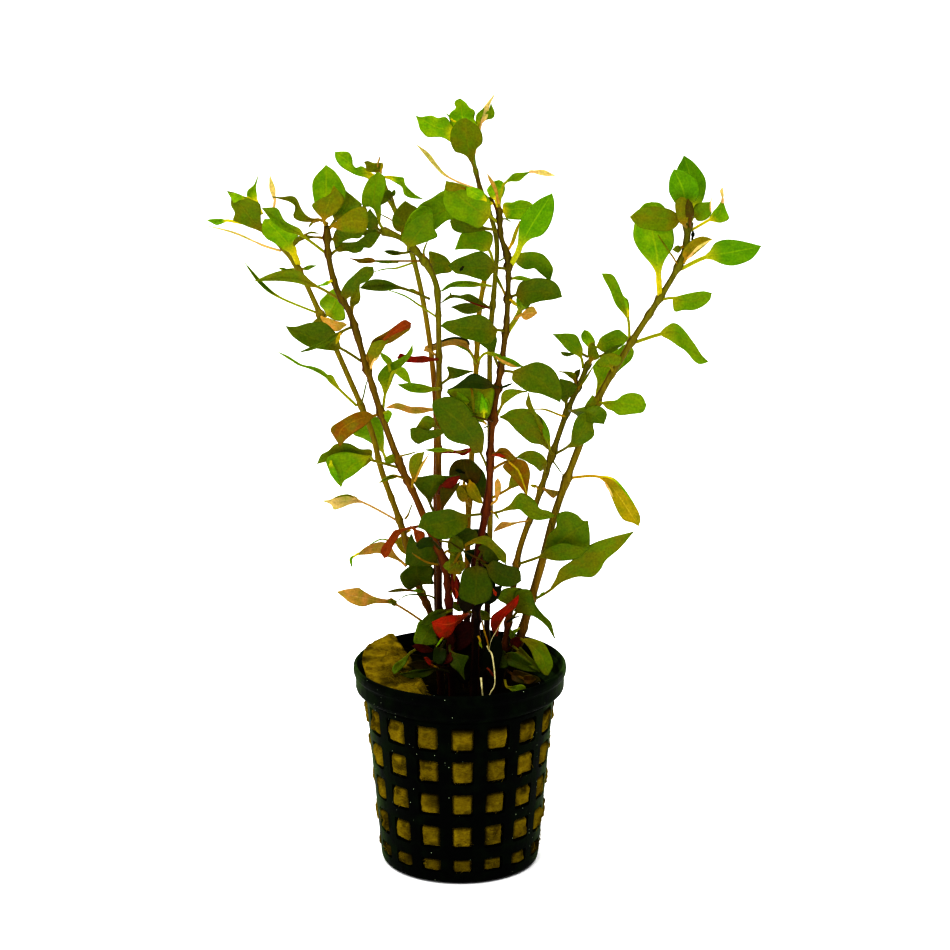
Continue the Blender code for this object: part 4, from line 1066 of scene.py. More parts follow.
# Large leaves are nodes of their own in the CAD, in this order.
LARGE_LEAVES: dict[str, list[Leaf]] = {
    "left_rear": leaves("""
MOSS 8/16: 264,234,0 262,231,-1 250,217,-3 240,204,-4 227,191,-4
    | 251,228 238,222 233,220 235,213 231,205 231,196 | 261,222 261,210 259,203 250,199 236,193;
YOUNG 14/4 stalk=1.4: 298,264,0 294,254,-2 285,240,-4 265,219,-6
    | 296,248 293,243 295,239 298,235 292,228 280,219 | 285,250 276,244 266,238 262,230 263,222;
GREEN 10: 322,316,0 327,315,1 334,304,5 337,287,8 | 321,307 320,301 325,296 331,290
    | 336,321 344,320 345,312 341,300 339,292;
GREEN 6: 386,459,0 383,452,2 376,436,5 366,416,7 | 372,444 363,438.5 353,434 360,427
    | 384,440 383,428 380,418;
PALE 30/20 stalk=0.5 shade=0.85: 398,521,0 362,502,-2 344,501,-4 323,501,-5
    | 355,497.3 348,494.3 338,495.8 330,499.7 | 352,503.8 341,507.8 334,509.5 331,504.5;
ORANGE 30/10 stalk=0.5: 422,621,0 397,605,-2 382,601,-4 358,597,-7 337,592,-8
    | 392,598 387,599.3 375,597 363,590.5 358,587.8 345,589.5
    | 390,603.5 375,603.5 362,606.5 350,602.5 345,598.5
"""),
    "left_front": leaves("""
GREEN 30/20 shade=0.85: 327,254,0 303,236,-1 284,224,-2 262,208,-3
    | 300,229 292,225 284,220 278,209 270,207.5 | 296,234 284,230 272,221;
YOUNG 4/12 shade=0.9: 327,226,0 324,219,1 326,190,3 326,165,2 | 317,212 314,200 312.3,188 313.5,180 319,172
    | 335,214 343,203 346,192 341,180 334,171;
MOSS 30/34: 341,300,0 317,286.5,2 290,277,4 255,281,5 | 310,280 305,275 298,271 285,270 270,274
    | 308,286.5 297,283 280,281 265,281;
DARK 16: 345,301,0 346,298,-1 356,281,-4 373,267,-5 | 341,293 346,283 355,274 364,267
    | 352,295 358,286 368,280.5 373.5,274;
DARK 20: 361,361,0 340,348,-3 313,338,-5 286,326.5,-6 | 338,337 331,328 323,322.5 308,323 296,326.5
    | 335,350.5 320,349 307,346 293,336.5;
RUST 20/-10: 371,370,0 370,363,-1 376,348,-3 390,338,-4 411,323,-6 | 366,357 370,346 374,339 388,331 404,320
    | 378,358 384,346 393,341.5 404,334 410,329;
RUST 30/-10: 379,414,0 373,416,-2 357,420,-5 341,430,-6 340,446,-5
    | 366,411.5 355,413 342,420 331,428 334,437 | 366,425 354,433 346,440;
MOSS 8 shade=0.95: 403,469,0 371,460,-3 350,457,-5 317,464,-6
    | 372,450 360,449 349,443.5 336,444 328,451 321,455 | 363,467 345,470 328,460 322,458.5
"""),
    "thin": leaves("""
MOSS 8 shade=0.95: 402,236,0 402,232,-1 401,218,-2 405,201,-3 | 396,230 392.5,224 393,216 398,208
    | 407,224 412,214 417,208 411,204
"""),
    "centre": leaves("""
GREEN 10: 385,231,0 379,222,-1 374,200,-2 378,172,-1 | 377,214 372,207 363,206 362,196 365,186 370,178
    | 381,214 381,204 384,194 386,184 384,176;
GREEN 12 shade=0.8: 408,250,0 409,246,-2 420,230,-4 433,214,-5 | 402,242 402,235 407,226 416,217 425,214.5
    | 418,245 430,240 437.5,236 434,228;
DARK 40: 430,299,0 405,289,2 383,285,3 360,288,4 | 397,285 386,280.3 374,279.3 366,282
    | 395,289.3 384,291 370,290.3;
DARK 14 shade=0.7: 440,564,0 437,562,-2 422,556,-5 411,533,-7 | 438,552 434,543 427,540 418,542.5 414,541
    | 430,566 418,566 406,564 406,555 408,542
"""),
    "rear_orange": leaves("""
BROWN 16: 471,489,0 470,484,-7 466,472,-9 462,459,-8 | 460,480 450,477 450,468 455,461
    | 478,482 482,472 476,463.5 469,459
"""),
    "tall": leaves("""
YOUNG 12: 470,158,0 456,134,2 436,127,3 416,116,4 | 447,118 438,118 431,115.5 421,117
    | 452,142 446,139 440,137 428,137 424,134 420,129 418,122;
MOSS 8: 477,172,0 472,162,-2 467,140,-4 466,118,-5 | 466,156 460,153 455,151 451,143 451,132 455,124 460,119
    | 474,157 476,150 482,143 482,134 478,127 471,121;
RED 20/30 shade=1.15: 491,650,0 496,637,-8 501,617,-12 518.5,595.5,-14
    | 493,632 491,626 491,620 492.5,615.5 500,610 510,602 | 500,626 504,618 510,612 516,607 519,599
"""),
    "dark_front": leaves("""
GREEN 4/14: 497,222,0 490,216,-2 470,205,-4 446,181,-4 | 490,200 480,190.5 470,187.5 458,183.5
    | 480,228 465,222 452,217 444,205 444,192;
FRESH 4/12 stalk=1.3: 511,265,0 518,252,-1 530,228,-2 552,193.5,-1 | 518,242 519,230 522,217 530,207 540,199
    | 524,245 531,239 540,236 546,231 551,222 554,210 554,200;
DARK 12: 508,269,0 498,268,-3 475,268,-6 448,265,-8 | 493,262 488,254.5 478,251.5 466,255.5 455,260
    | 493,273 486,280.5 477,278.5 466,275 455,272.8;
GREEN 24 shade=0.85: 509,257,0 514,258,3 535,261,6 549,272,7 550,281,7
    | 520,253.5 528,252 535,252 542,254 547,258 551,264 553,270
    | 516,263 521,267 526,269.5 531,268.5 535,268.5 540,273 546,278;
DARK 16: 508,299,0 516,295,2 540,291,4 562,297,5 | 518,286 524,280.5 538,278 552,280.5 559,287
    | 524,306 531,304 541,301 553,299.5;
DARK 12: 505,331,0 497,330,-3 470,328,-6 441,326,-8 | 489,320 480,315 468,316 455,319.5 446,321.5
    | 495,338 488,344 475,341 462,337.5 450,332;
DARK 12: 504,371,0 513,372,-3 537,378,-5 560,402,-6 | 523,366.5 536,362 548,365.5 556,373 561,385 562,394
    | 512,379 518,385 528,391.5 541,394 552,398.5;
DARK 6 stalk=0.5 shade=0.9: 487,467,0 480,452,-3 463,425,-7 433,401,-8
    | 482,452 484.5,437 481,426 472,412.5 462,401 447,396.5 | 474,453 468,445.5 452,441 444,434 433,410;
DARK 12 shade=0.82: 484,514,0 467,516,-4 443,523,-7 418,527,-9 | 458,511.5 449,509 437,511 427,512.5 421,518
    | 467,526 458,533.5 447,539 434,537.5 426,531;
DARK 16 shade=1.25: 494,513,0 504,510,-2 521,502,-4 538,513,-5 555,516,-5
    | 511,503.5 517,495 523,493 533,499 540,508.5 549,511 | 513,510 520,509.5 527,516 536,520 547,519;
RUST 10/-12: 490,471,0 509,461,-3 519,472,-5 527,496,-6 | 503,467 512,477 521,488
    | 516,458.5 526,462 530,473 528.5,486
"""),
    "right_thin": leaves("""
MOSS 8: 553,457,0 549,449,-2 530,424,-5 499,417,-8 | 550,441 549,430 541,417 528,409 513,409.5 505,413.5
    | 541,445 530,442 518,432 508,422;
DARK 6 shade=1.15: 555,454,0 568,446.5,-8 580,435,-13 588,412,-13 | 571.5,440 572.5,428 578,416
    | 576,447 585,443 594,435.5 593,425 596,418;
DARK 10 shade=1.25: 518,564,0 541,556,-4 562,540,-7 588,521,-8
    | 545,547 549,535 556,527 557,515 567,511 577,514.5 583,520.5 | 556,558 574,559 588,549 590,536 589,526;
DARK 12: 508,624,0 517,612,-4 527,603,-6 540,615,-6 555,639,-6
    | 514,604 516,592 524,589 531,591.5 535,604 543,614.5 551,623 | 525,615 533,616 541,621 549,629
"""),
    "right_thick": leaves("""
FRESH 8/12: 689,222,0 690,210,3 692,185,5 684,155.5,4 | 684,200 677,185 677,170 681,161
    | 699,206 704,197 706,184 703,174 693,162;
MOSS 10: 689,224,0 680,219,-2 655,218,-5 630,217,-6 | 674,212 667,208.5 655,206.5 642,208 635,212.5
    | 676,227 668,231 655,230.5 642,228 634,222.5;
YOUNG 8/8 stalk=1.3 shade=0.93: 660,297,0 659,283,-1 657,255,-2 652,228,-2 652,202,-1
    | 656,273 650,263 640,251 634,240 633.5,230 637,214 644,204
    | 661.5,270 665,260 672,249 674,239 672,226 667,211 660,203;
FRESH 8 stalk=0.9: 681,269,0 706,257,-1 732,252,-2 761,246,-1 | 710,251 716,242.5 729,239.5 748,242.5
    | 713,260 724,264.5 735,265.3 749,260.5 757,253;
GREEN 14: 660,300,0 673,298,-2 690,302,-3 711.5,293,-4 | 680,295.5 692,292.7 703,291.3
    | 672.7,304 675,311.5 684,310 694,310 704,305.5 710,299.5;
GREEN 24: 629.5,341,0 628,318,2 620,300,2.5 612,285,3 602,273.5,4
    | 629.5,309 628,300 623,295 618,283 612,274.5 | 621,311 615,303 610,290 604,279;
GREEN 24 stalk=0.8: 633,343,0 661,334,-2 677,333,-3 690,347,-4 708,362,-5
    | 664,328.5 668,325.5 673,323 679,325 685,331 691,339 696,346 701,354
    | 665,337.5 671,341 678,346 685,350.5 690,356 694,361 699,364 704,363.5;
GREEN 6: 598,402,0 603,403,-2 625,404,-4 646.5,405,-5 | 608,401 616,400 623,395 633,392.8 642,396
    | 607,408.5 613,411 619,415 632,414 643,412;
YELLOW 16: 569,478,0 600,477,-3 618,495,-4 638.5,526,-5 | 609,476.5 617,480.5 628,494 638,511 640.5,520
    | 606,484 611,496 618,512 624,520 633,523;
MOSS 12: 533,600,0 551,589.5,-2 585,563,-5 634,531.5,-7 | 556,578 560,569 574,559 590,545 612,537
    | 561,582.5 577,577 592,577 601,569 606,560 620,548
"""),
}

# Small leaves, shoots and bits are part of their stem. One without margins has a width and a regular form.
# Some near-black leaves and bits at the shoots' foot fill places of shade, and low shade values paint shade
# on others.
SMALL_LEAVES: dict[str, list[Leaf]] = {
    "left_rear": leaves("""
YOUNG 20: 256,226,0 228,220.5,1 220,221,3 207,220,3 | 221,219 213,219 | 223,223 217,225 211,222.5;
YOUNG 20: 262,214,0 257,202,3 253,192,4 258,176,4 | 250,200 247,196 248,190 254,185 | 257,196 256,188 257,181;
PALE 20: 268,233,0 275,200,3 271,190,4 270,176,5 | 273,198 269.5,189 269.5,181 | 275.5,190 272,180;
YOUNG 10: 256,204,-4.2 248,198,-5.2 238,197,-5.6 227,191,-5 | 240,200 234,203 231,198 | 240,195 234,193;
PALE 40 width=0.9: 281,251,0 262,245,1 235,233,2 208,226,2;
GREEN 65 width=3.4: 320,314,0 281,298,3 262,284,5 245,263,6;
GREEN 20: 299,271,0 302,269,3 309,267,5 316,265.5,7 | 308,265.5 | 308,270;
GREEN 65 width=3: 299,271,0 296,269,3 288,270,6 279,268,8;
ORANGE 20: 323,315,0 322,318,-2 333,324,-5 347,325,-6 | 327,317.5 336,321 344,322.5
    | 324,323 331,330 338,331 343,328;
OLIVE 20 width=1.4: 322,316,0 323,318,-1 319,320,-1.5 313,322,-2;
GREEN 30: 357,406,0 339,389,2 330,379,3 313,368.5,4 296,363,5 278,352,5
    | 334,377.5 331,374.5 328,375 322,370 313,366.5 302,364.5 288,356
    | 330,383 326,378 320,374 310,369 298,365 290,359.5;
DARK 30 width=0.5: 360,404,0 362,402,-1 366,385,-2 368,378,-3;
OLIVE 30 width=0.6: 357,499,-2.6 354,497,-3.4 346,495,-4.8 334,498,-5.6;
OLIVE 30 width=0.5: 405,519,0 408,515,-1 411,507,-1 413,502,-1;
ORANGE 24 shade=0.8: 406,566,0 402,562,2 388,550,3 372,548,4 357,555,4
    | 396,555 391,547 383,542 372,544 363,549 | 394,559 386,556 378,553 368,554.5;
YOUNG 30 width=1: 359,553,3.6 356,555,3.6 351,559,4 352,567.5,4;
GREEN 30 width=0.5: 396,543,3 388,540,3 380,539.5,3 370,544.5,3;
YELLOW 10: 410,530,0 405,534,2 403,545,4 407,555,5 | 398,538 396,544 402,552 | 410,538 410,548;
DARK 8 shade=0.6: 422,592,0 421,584,-3 418,575,-6 416,564,-9 | 412,589 404,586 400,577 404,570 409,566
    | 428,585 434,584.5 432,578 434,569.5 426,564.5;
BROWN 20 width=1.1: 416,591,0 410,590.5,-1 400,590,-1 387,592,0;
GREEN 20 width=1.1: 424,594,0 423,592,-1 419,591,-1.5 413,590,-2;
OLIVE 20 width=1.8: 397,605,-1 396,604,-2.4 392,602,-3.4 388,601,-4;
DARK 20 width=0.45: 438,602,2 430,596,0 408,595,-2 398,601,-2;
DARK 20: 436,640,0 410,653,-9 402,664,-12 394,674,-15 | 402,659 394,665 392.5,670 | 408,659 403,667 398,672;
BROWN 14 shade=0.7: 438,660,-2 430,662,-3 420,658,-5 410,654,-7 | 430,659 420,655 | 430,667 420,664 413,660
"""),
    "left_front": leaves("""
OLIVE 30 shade=0.85: 328,241,0 320,237.5,1 304,238.5,2 294,246,2 | 312,236 303,235 296,238 293,243
    | 314,238 306,239 300,241 297,244;
OLIVE 30 width=0.7 shade=0.85: 303,237,1.5 305,235,1 311,232.5,1 319,233.5,1;
OLIVE 20 shade=0.85: 328,224,0 320,220,1 309,219.5,1.3 299,214,1.5 297,207,2 293,200,2 284,198.5,2 272,197,2
    | 318,219 311,218 305,214 301,208 298,201 295,197 290,196 282,197
    | 318,221 308,222 298,220.5 293,216 295,211 295,206 290,202 284,200;
OLIVE 30 width=0.8 shade=0.85: 316,221,1 314,222,0.5 312,223,0.5 308.5,227.5,0.5;
OLIVE 8: 326,226,0 324,220,-3 328,204,-4 334,186,-4 | 318,214 313,208 312,204.5 316,202 322,198 330,194
    | 334,214 342,206 344,198 338,190;
DARK 12 shade=1.25: 331,226,0 335,220,4 346,205,6 346,191,7 | 333,214 338,205 343,199
    | 345,216 355,209 362,205 355,198;
OLIVE 12: 330,228,0 333,226,-2 350,221,-5 368,222,-6 | 337,221 345,214 353,209 366,207
    | 338,230 348,232.5 358,233 366,231;
DARK 12 shade=1.2: 330,240,0 333,239,1 345,237,2 364,232,3 | 337,229 350,230 360,229
    | 336,250 341,243 350,238.5 360,238;
DARK 12 shade=1.15: 332,254,0 337,250,1 352,247,4 380,235,6 | 341,243 350,242.5 357,241.5 362,238 372,232
    | 340,251.5 348,251 354,253 361,251.5 364,247.5 370,248 375,243;
YOUNG 20: 333,280,0 331,281,-1 325,283.5,-2 317,286,-2 | 327,281 322,284 | 329,284 325,285.5;
DARK 30: 352,327,0 343,331,-5 325,342,-7 310,349,-8 300,352,-9 | 334,334 320,343 308,348
    | 337,338 324,345.5 310,350.5;
YELLOW 20 width=1.1: 341,334,-6 340,334,-7.4 338,339,-7.8 336,344,-7.8;
OLIVE 16: 353,326,0 352,312,3 355,298,4 360,284,5 | 350,305 351,296 356,288
    | 354.5,306 358.5,303 360.5,297 359.5,289;
AUBURN 10 shade=0.95: 384,340,-4.6 388,336,-5.4 400,328,-6.4 411,323,-7 | 390,331 404,320.3
    | 392,335 402,331 410,327;
OLIVE 10: 371,369,-1 371,361,-2.4 377,349,-4.2 388,340,-5 | 368,353 374,342 | 379,355 385,346;
PALE 10 width=0.7: 371,368,-1.4 373,362,-2.6 379,354,-3.6 384,346,-4.4;
GREEN 8: 383,411,0 385,394,1 390,375,2 400,364,2 412.5,345,1 | 381,385 377.5,377 385,366 396,360.5 407,354
    | 390,386 395,373.5 402,366 412,354;
GREEN 8: 388,388,1 393,372,0.6 402,372,0.2 411,383.5,0 | 402,367 408,373 | 396,374 405,381;
GREEN 8: 390,372,1.6 389,366,2.5 385,358,3 380,352,3 | 384,361 381,356 | 392,362 389,357;
GREEN 12: 380,414,0 384,413,-1 388,415,-1.5 388,423,-2 | 388,410 392,414 | 385,419;
GREEN 10: 372,459,-3 368,457,-5 350,468,-6.4 341,487,-7 | 345,452 327,458 329,470 335,481
    | 364,466 352,476 344,481;
FRESH 10: 331,460,-6.6 331,463,-7.8 334,473,-8.2 339,483,-8.4 | 328.5,466 331,475 | 335,468 338,476;
MOSS 20: 400,466,0 396,461,-1 390,459,-2 384,459,-2 | 393,454.5 387,456.5 | 391,463.5 386,463;
OLIVE 20 width=0.5: 400,458,0 401,456,-1 409,454,-1 417,451.5,-1;
OLIVE 10: 412,490,0 413,478,-3 415,466,-4 424,452,-5 | 409,470 410,459 415,454 | 419,474 422,463;
ORANGE 10 width=0.7: 415,481,-3 417,476,-4.2 422,465,-5 429,454,-5.6;
OLIVE 50 width=2.2: 405,479,0 397,476.3,-3 388,478,-5 379,483,-6;
AUBURN 20 shade=0.9: 427,525,0 403,530,-3 392,541,-5 384,558,-6 | 395,530 389,538 381,550
    | 399,536 393,546 388,556;
AUBURN 12 shade=0.9: 410,527,-2 414,529,-2.6 419,536,-3 419.5,545,-3 | 414,534 416,541 | 424,532.5 424,540;
DARK 16 shade=0.55: 451,640,0 450,651,-2 459,664,-4 465,680,-5 | 463,655 469,657 464,668 | 450,664 458,672;
DARK 14 shade=0.5: 450,672,-1 436,669,-4 418,672,-7 400,674,-9 | 437,667 425,669.5 415,670 408,672
    | 430,675 420,678.5 408,678;
BROWN 14 shade=0.4: 448,668,-1 436,667,-3.5 420,665,-5 407,665,-7 | 430,662 418,660 | 430,670 418,670;
RED 14 shade=0.7: 434,670,-4 431,664,-5.6 428,661,-6 424,658,-6 | 431,661 427,657 | 434,666 429,665;
RUST 14 width=0.5 shade=1.2: 438,668,-4.5 435,666.5,-5.6 433,665.6,-5.8 431,664.5,-6;
DEEP 14 shade=0.8: 446,640,-1 441,648,-3 438,656,-4 438,664,-5 | 435,648 433,656 434,662
    | 446,650 446,658 442,664;
RED 14 shade=0.28: 452,648,-1 450,655,-3 448,660,-4 444,664,-4.4 | 446,656 443,660 | 453,658 450,662.5;
GREEN 14 width=0.5: 443,638,-4 441,640,-7 439,643,-8 436,647,-8;
RED 14 shade=0.18: 440,652,-1 432,650,-4 424,649,-6 412,646,-8 | 428,646 418,644 | 430,653 420,652;
RED 10 shade=0.4: 458,604,-0.5 458,590,-0.8 455,580,-1 450,571,-1 | 453,588 451,577 | 461,592 459,580 453,572;
OLIVE 10 shade=0.6: 446,602,-0.4 451,592,-0.6 451,584,-0.6 449,576,-0.6 | 447,592 448,582 | 456,588 454,580;
OLIVE 10 shade=0.85: 452,586,-0.6 455,574,-1 457,562,-1.4 456,547,-1.6 | 448,572 449,560 451,552
    | 461,574 463,562 461,552;
MOSS 12 shade=0.7: 453,564,-6 451,566,-7 448,567,-7 443,566,-7 | 450,561.5 446,562 | 450,570 446,569.5;
MOSS 8 width=4.5 shade=0.62: 440,541,-2 448,542,-3 456,545,-4 462,552,-4;
RUST 10 width=0.5: 438,564.5,-6 428,562.5,-9 420,558.5,-10 412,553,-10;
DEEP 10: 440,549,-5 432,541,-9 426,540,-10 416,546,-10 | 432,537.5 424,537.5 418,542
    | 434,546 426,547 420,549;
RED 20 width=2.2 shade=0.5: 449,570,0 454,573,-0.4 455,586,-0.6 456,600,-0.6;
RED 20 width=0.9 shade=1.2: 455,588,-1 456,590,-1.4 457,594,-1.4 457,598,-1.4;
OLIVE 20 width=1.8: 445,553,0 447,551,-1 453,552,-1 459,556,-1;
OLIVE 20 width=2: 452,560,0 457,561,-1 462,565,-1 461,572,-1;
OLIVE 30/10 shade=0.72: 452,567,0 467,544,-5 487,541,-6 506,564,-6 | 475,538.5 487,536 497,544.5 506,554
    | 475,543.5 485,545 494,552 500,560
"""),
    "thin": leaves("""
YOUNG 16: 381,180,0 374,176,0 360,171,0 350,163,0 335,152,1
    | 368,170 361,166 356,168 353,165 352.5,160 351,155 348,152 342,151.5
    | 369,180 367,178 356,175 350,172 343,168 338,163 335,157;
OLIVE 8 shade=1.1: 380,177,0 378,173,-1 374,168,-2 364,162,-2 | 383,168 382,163 374,163 368,161
    | 372,172 366,170 366,166;
ORANGE 10 width=0.5: 378,167,-2 378,163,-2.2 379,160,-2.2 380,156.5,-2.2;
YELLOW 10 width=0.8: 381,173,-2 381,170,-2.8 382,166,-2.8 382,162,-2.8;
YOUNG 20: 381,182,0 385,177,0 395,178,-1 403,184,-1 409,193,-1 423,199,0
    | 391,176 400,177 404,178 405,184 410,190 416,195
    | 391,180 396,183 401,186 403,189 404,194 408,197 415,198.5;
DARK 10: 391,201,0 390,199,-3 386,198,-4 381,205,-4 | 392,192 387,190 383,194 | 388,201 385,203;
DARK 10 width=1.2: 390,199,-2 392,196,-3.2 394,192,-3.4 394,189.5,-3.4;
OLIVE 10 width=0.3: 393,221,0 388,218,-0.6 384,216,-0.8 379.5,213.5,-1;
GREEN 30 width=0.45: 415,262,0 397,268,1 385,269,2 374,272,3
"""),
    "centre": leaves("""
DARK 6: 382,231,0 377,228,-3 373,219,-5 370,209,-6 | 368,229 367,222 367,214 | 378,225 377,219 374,214;
DARK 10: 382,232,0 380,233,0.6 371,234,1 362,234,1.5 | 375,229 366,230 | 377,237 371,237 366,236.5;
GREEN 8: 408,247,0 408,240,1 415,222,2 430,208,3 | 404,231 408,219 413,212 419,208 424,206
    | 420,238 430,226 433,214;
OLIVE 20 width=0.6: 424,262,0 424,256,-0.6 424,250,-2 428,240,-3;
RUST 30 stalk=0.4: 424,261,0 375,261,-3 365,261,-4 350,258.5,-5 | 373,258.5 367,257.5 360,259
    | 371,263 360,263 355,260.5;
DARK 20 width=0.9: 398,262,-2 395,262,-2.6 386,262,-3.4 375,261.5,-4;
DARK 50 width=2.4: 410,252,0 403,253,1 395,253,2 384,251,3;
MOSS 14: 429,269,0 430,263,4 440,263,7 454,267,9 | 428,252 436,252.5 445,256.5 450,262
    | 433,274 442,273.5 450,272;
OLIVE 20 width=0.8: 419,294,1 417,292,0.4 412,290,0.6 408,290,0.8;
GREEN 20 width=0.5: 438,318,0 419,305,-2 405,296,-3 388,290,-3;
RED 20 shade=0.8: 439,359,0 434,359.5,-2 415,359.5,-4 397,358,-6 | 425,356 413,356.5 404,354.5 400,353.5
    | 425,362.5 412,362.5 403,361;
ORANGE 20 width=1.1: 435,355,-1 432,352,-1.4 427,349,-1.6 425.5,346,-1.8;
DARK 12: 438,386,0 448,379,-2 455,373,-3 473,371.3,-4 | 449,373 447,366.5 458,368.5 | 456,378 465,374.5;
GREEN 24: 440,388,0 436,389,-3 418,388,-5 397.5,384.5,-7 | 425,385 412,383 404,383.5
    | 428,392.5 414,392.5 405,389.5;
ORANGE 20: 437,409,0 433,409.5,3 411,409,6 386,407.5,8 | 423,407 410,406.5 397,403
    | 424,413 411,413.5 399,409.5;
MOSS 10: 439,430,0 435,426,-3 427,423,-4 416,428,-5 | 434,419 426,415.5 420,421.5 | 428,430 420,429.5;
DARK 12: 458,424,-3 450,428,-4 430,433,-5 410,429,-6 | 440,429.5 425,430 415,427.5
    | 440,435.5 425,441 418,444 411,438;
GREEN 30 width=1.5: 453,451,-1.6 449,450,-2.6 438,450,-3.2 425,450,-4;
RED 20 shade=0.85: 439,453,0 445,452,2 458,452.5,4 473,448.5,6 | 450,450.6 460,450.2 467,448.4
    | 450,453.2 458,453.6 463,455.5 468,453;
RUST 20 width=0.5: 456,451.6,3 460,451.8,3.4 464,451.6,4 468,450,4.6;
DARK 10: 439,520,0 430,503,-2 432,488,-4 437,475,-6 | 424,495 416,487 412,478 424,476
    | 434,496 440,486 450,478 459,475 446,475;
RED 10 shade=0.42: 439,494,-3 441,486,-6 450,481,-7 460,476,-7.4 | 446,480 452,477 | 447,488 452,488 457,483;
BROWN 10: 440,515,0 442,509,-4 446,498,-5 460,482,-6 | 440,495 441,487 450,487 | 446,504 456,490;
DARK 8 shade=0.9: 439,616,0 434,622,-3 427,633,-6 421,645,-8 | 420,621 416,630 413.5,640 415,644
    | 436,634 438,643 428,645.5;
RED 10 shade=0.12: 441,664,0 450,645,-2 462,635,-3 478,624,-3 | 448,630 462,621 | 460,652 474,640;
BROWN 10 shade=0.16: 441,692,0 452,670,-1 466,655,-1 482,640,-1 | 448,652 468,638 | 464,684 482,662;
GREEN 14 shade=0.75: 430,630,-3 436,622,-4 444,615,-4.4 452,609,-4.4 | 434,618 443,612 | 444,621 450,616;
GREEN 20 width=0.7 shade=0.5: 451,611,-5 448,612,-6 438,616,-6.4 425,620,-6.4;
DARK 14 shade=0.6: 453,610,-5.4 444,612,-6 434,616,-7 421,624,-8 | 446,609 434,611 424,618
    | 446,616 436,621 427,626
"""),
    "rear_orange": leaves("""
GREEN 30: 491,286,0 484,285,-2 462,283,-4 440,292,-5 | 474,281.5 458,281 448,284.5
    | 474,287 462,287 450,287.5;
DARK 20: 485,307,0 482,308,-3 468,308,-5 451,307,-7 | 474,304 466,303 458,304.5
    | 478,312 468,314 460,312 455,309;
ORANGE 16: 476,362,0 468,349,-1 455,341,-3 440,344,-5 424,351,-6
    | 469.5,343 466,339 455,337 446,338.5 436,343 426,346 | 463,349 455,345.5 446,346 438,349 430,352;
DEEP 16 width=0.6: 469,344,-2 466,340,-3.4 452,338,-5 430,345.5,-6.6;
GREEN 16 width=0.5: 476,364,-1 470,353,-2.4 463,348,-3 457,345.5,-3.6;
DARK 8 shade=0.75: 486,502,0 484,498,-4 478,482,-6 470,466,-7 | 477,492 470,480 466,470
    | 486,488 485,475 478,466.5;
DEEP 8 width=1 shade=0.4: 464,473,-9.4 462,472,-10.2 459,471,-10.4 455.5,470,-10.4;
YELLOW 8: 470,478,-6 470,482,-9.6 474,492,-9.6 483,503.5,-9 | 466,488 470,498 477,502.5 | 475,484 480,494;
YELLOW 8: 464,482,-7 464,484,-9 465,490,-9 468,498,-9 | 459,487 463,493 | 468,486 469,492;
YELLOW 10 width=3 shade=0.8: 470,506,-6 466,501,-8 462,494,-9 457,484,-9;
RED 10 shade=1.2: 469,614,0 466,615,-10 450,624,-16 432,622,-17 | 460,614.5 446,616 438,619
    | 462,621 455,627 450,636 441,639 434,631;
MOSS 20 shade=0.8: 468,613,-4 465,610,-6 459,606,-7 450,603,-7 | 461,605 457,602 453,602
    | 463,611 458,611 453,608;
MOSS 20 shade=0.9: 470,612,-4 473,612.5,-5 481,615,-6 491,618.5,-6 | 475,610 482,610 488,613
    | 476,616 481,620 488,620
"""),
    "tall": leaves("""
PALE 30 stalk=0.4: 480,190,0 452,179,3 436,165,4 417,145,4 | 444,172.5 437,164 431,155.5 425,150
    | 443,175 434,166 428,159 422,151.5;
YOUNG 6: 472,160,0 466,132,2 462,115,4 460,98.5,4 | 453,127 450,121 449,116 451,112 456,108 454.5,104 456,100
    | 478,128 479,125 474,119 475,114 474,110 469,107 466,103;
YOUNG 10 width=0.5: 456,122,2 452,120,2 449,116,2 446,113.5,2;
PALE 16: 474,155,0 481,123,4 485,112,5 494,95,5 | 479,119 482,110 488,102 | 487,119 489,108 491,102;
GREEN 12: 475,131,4 480,122,4.5 489,117,5 491,104,5.5 | 484,116 489,109 | 487,119.5 493,118 494.5,112;
GREEN 12: 474,132,3 479,124,3 477.5,118,3.5 484,108,4 | 476,121 476.5,115 480,111 | 481,119 483,113;
DARK 20: 491,309,0 486,306,-3 470,297.5,-5 455,296.5,-7 441,303,-8
    | 480,300 475,296.5 469,294 460,295.5 450,295 | 478,305.5 468,301.5 460,298.5 450,298;
RED 20 width=0.4 shade=0.5: 489,308,-2.4 484,307,-4 474,303.5,-5.4 466,300.5,-6;
DARK 20 width=0.5: 452,298,-7.2 451,296,-7.4 450.5,294,-7.4 450,292,-7.4;
GREEN 4/12: 490,210,0 480,205,-0.5 450,208,-1.5 408,230,-2 | 465,192 446,190 432,198 418,207
    | 465,222 450,219.5 442,224 434,230 420,232;
RUST 20 width=0.7: 473,634,-12 474,634.5,-12 477,636,-12 480,638,-12
"""),
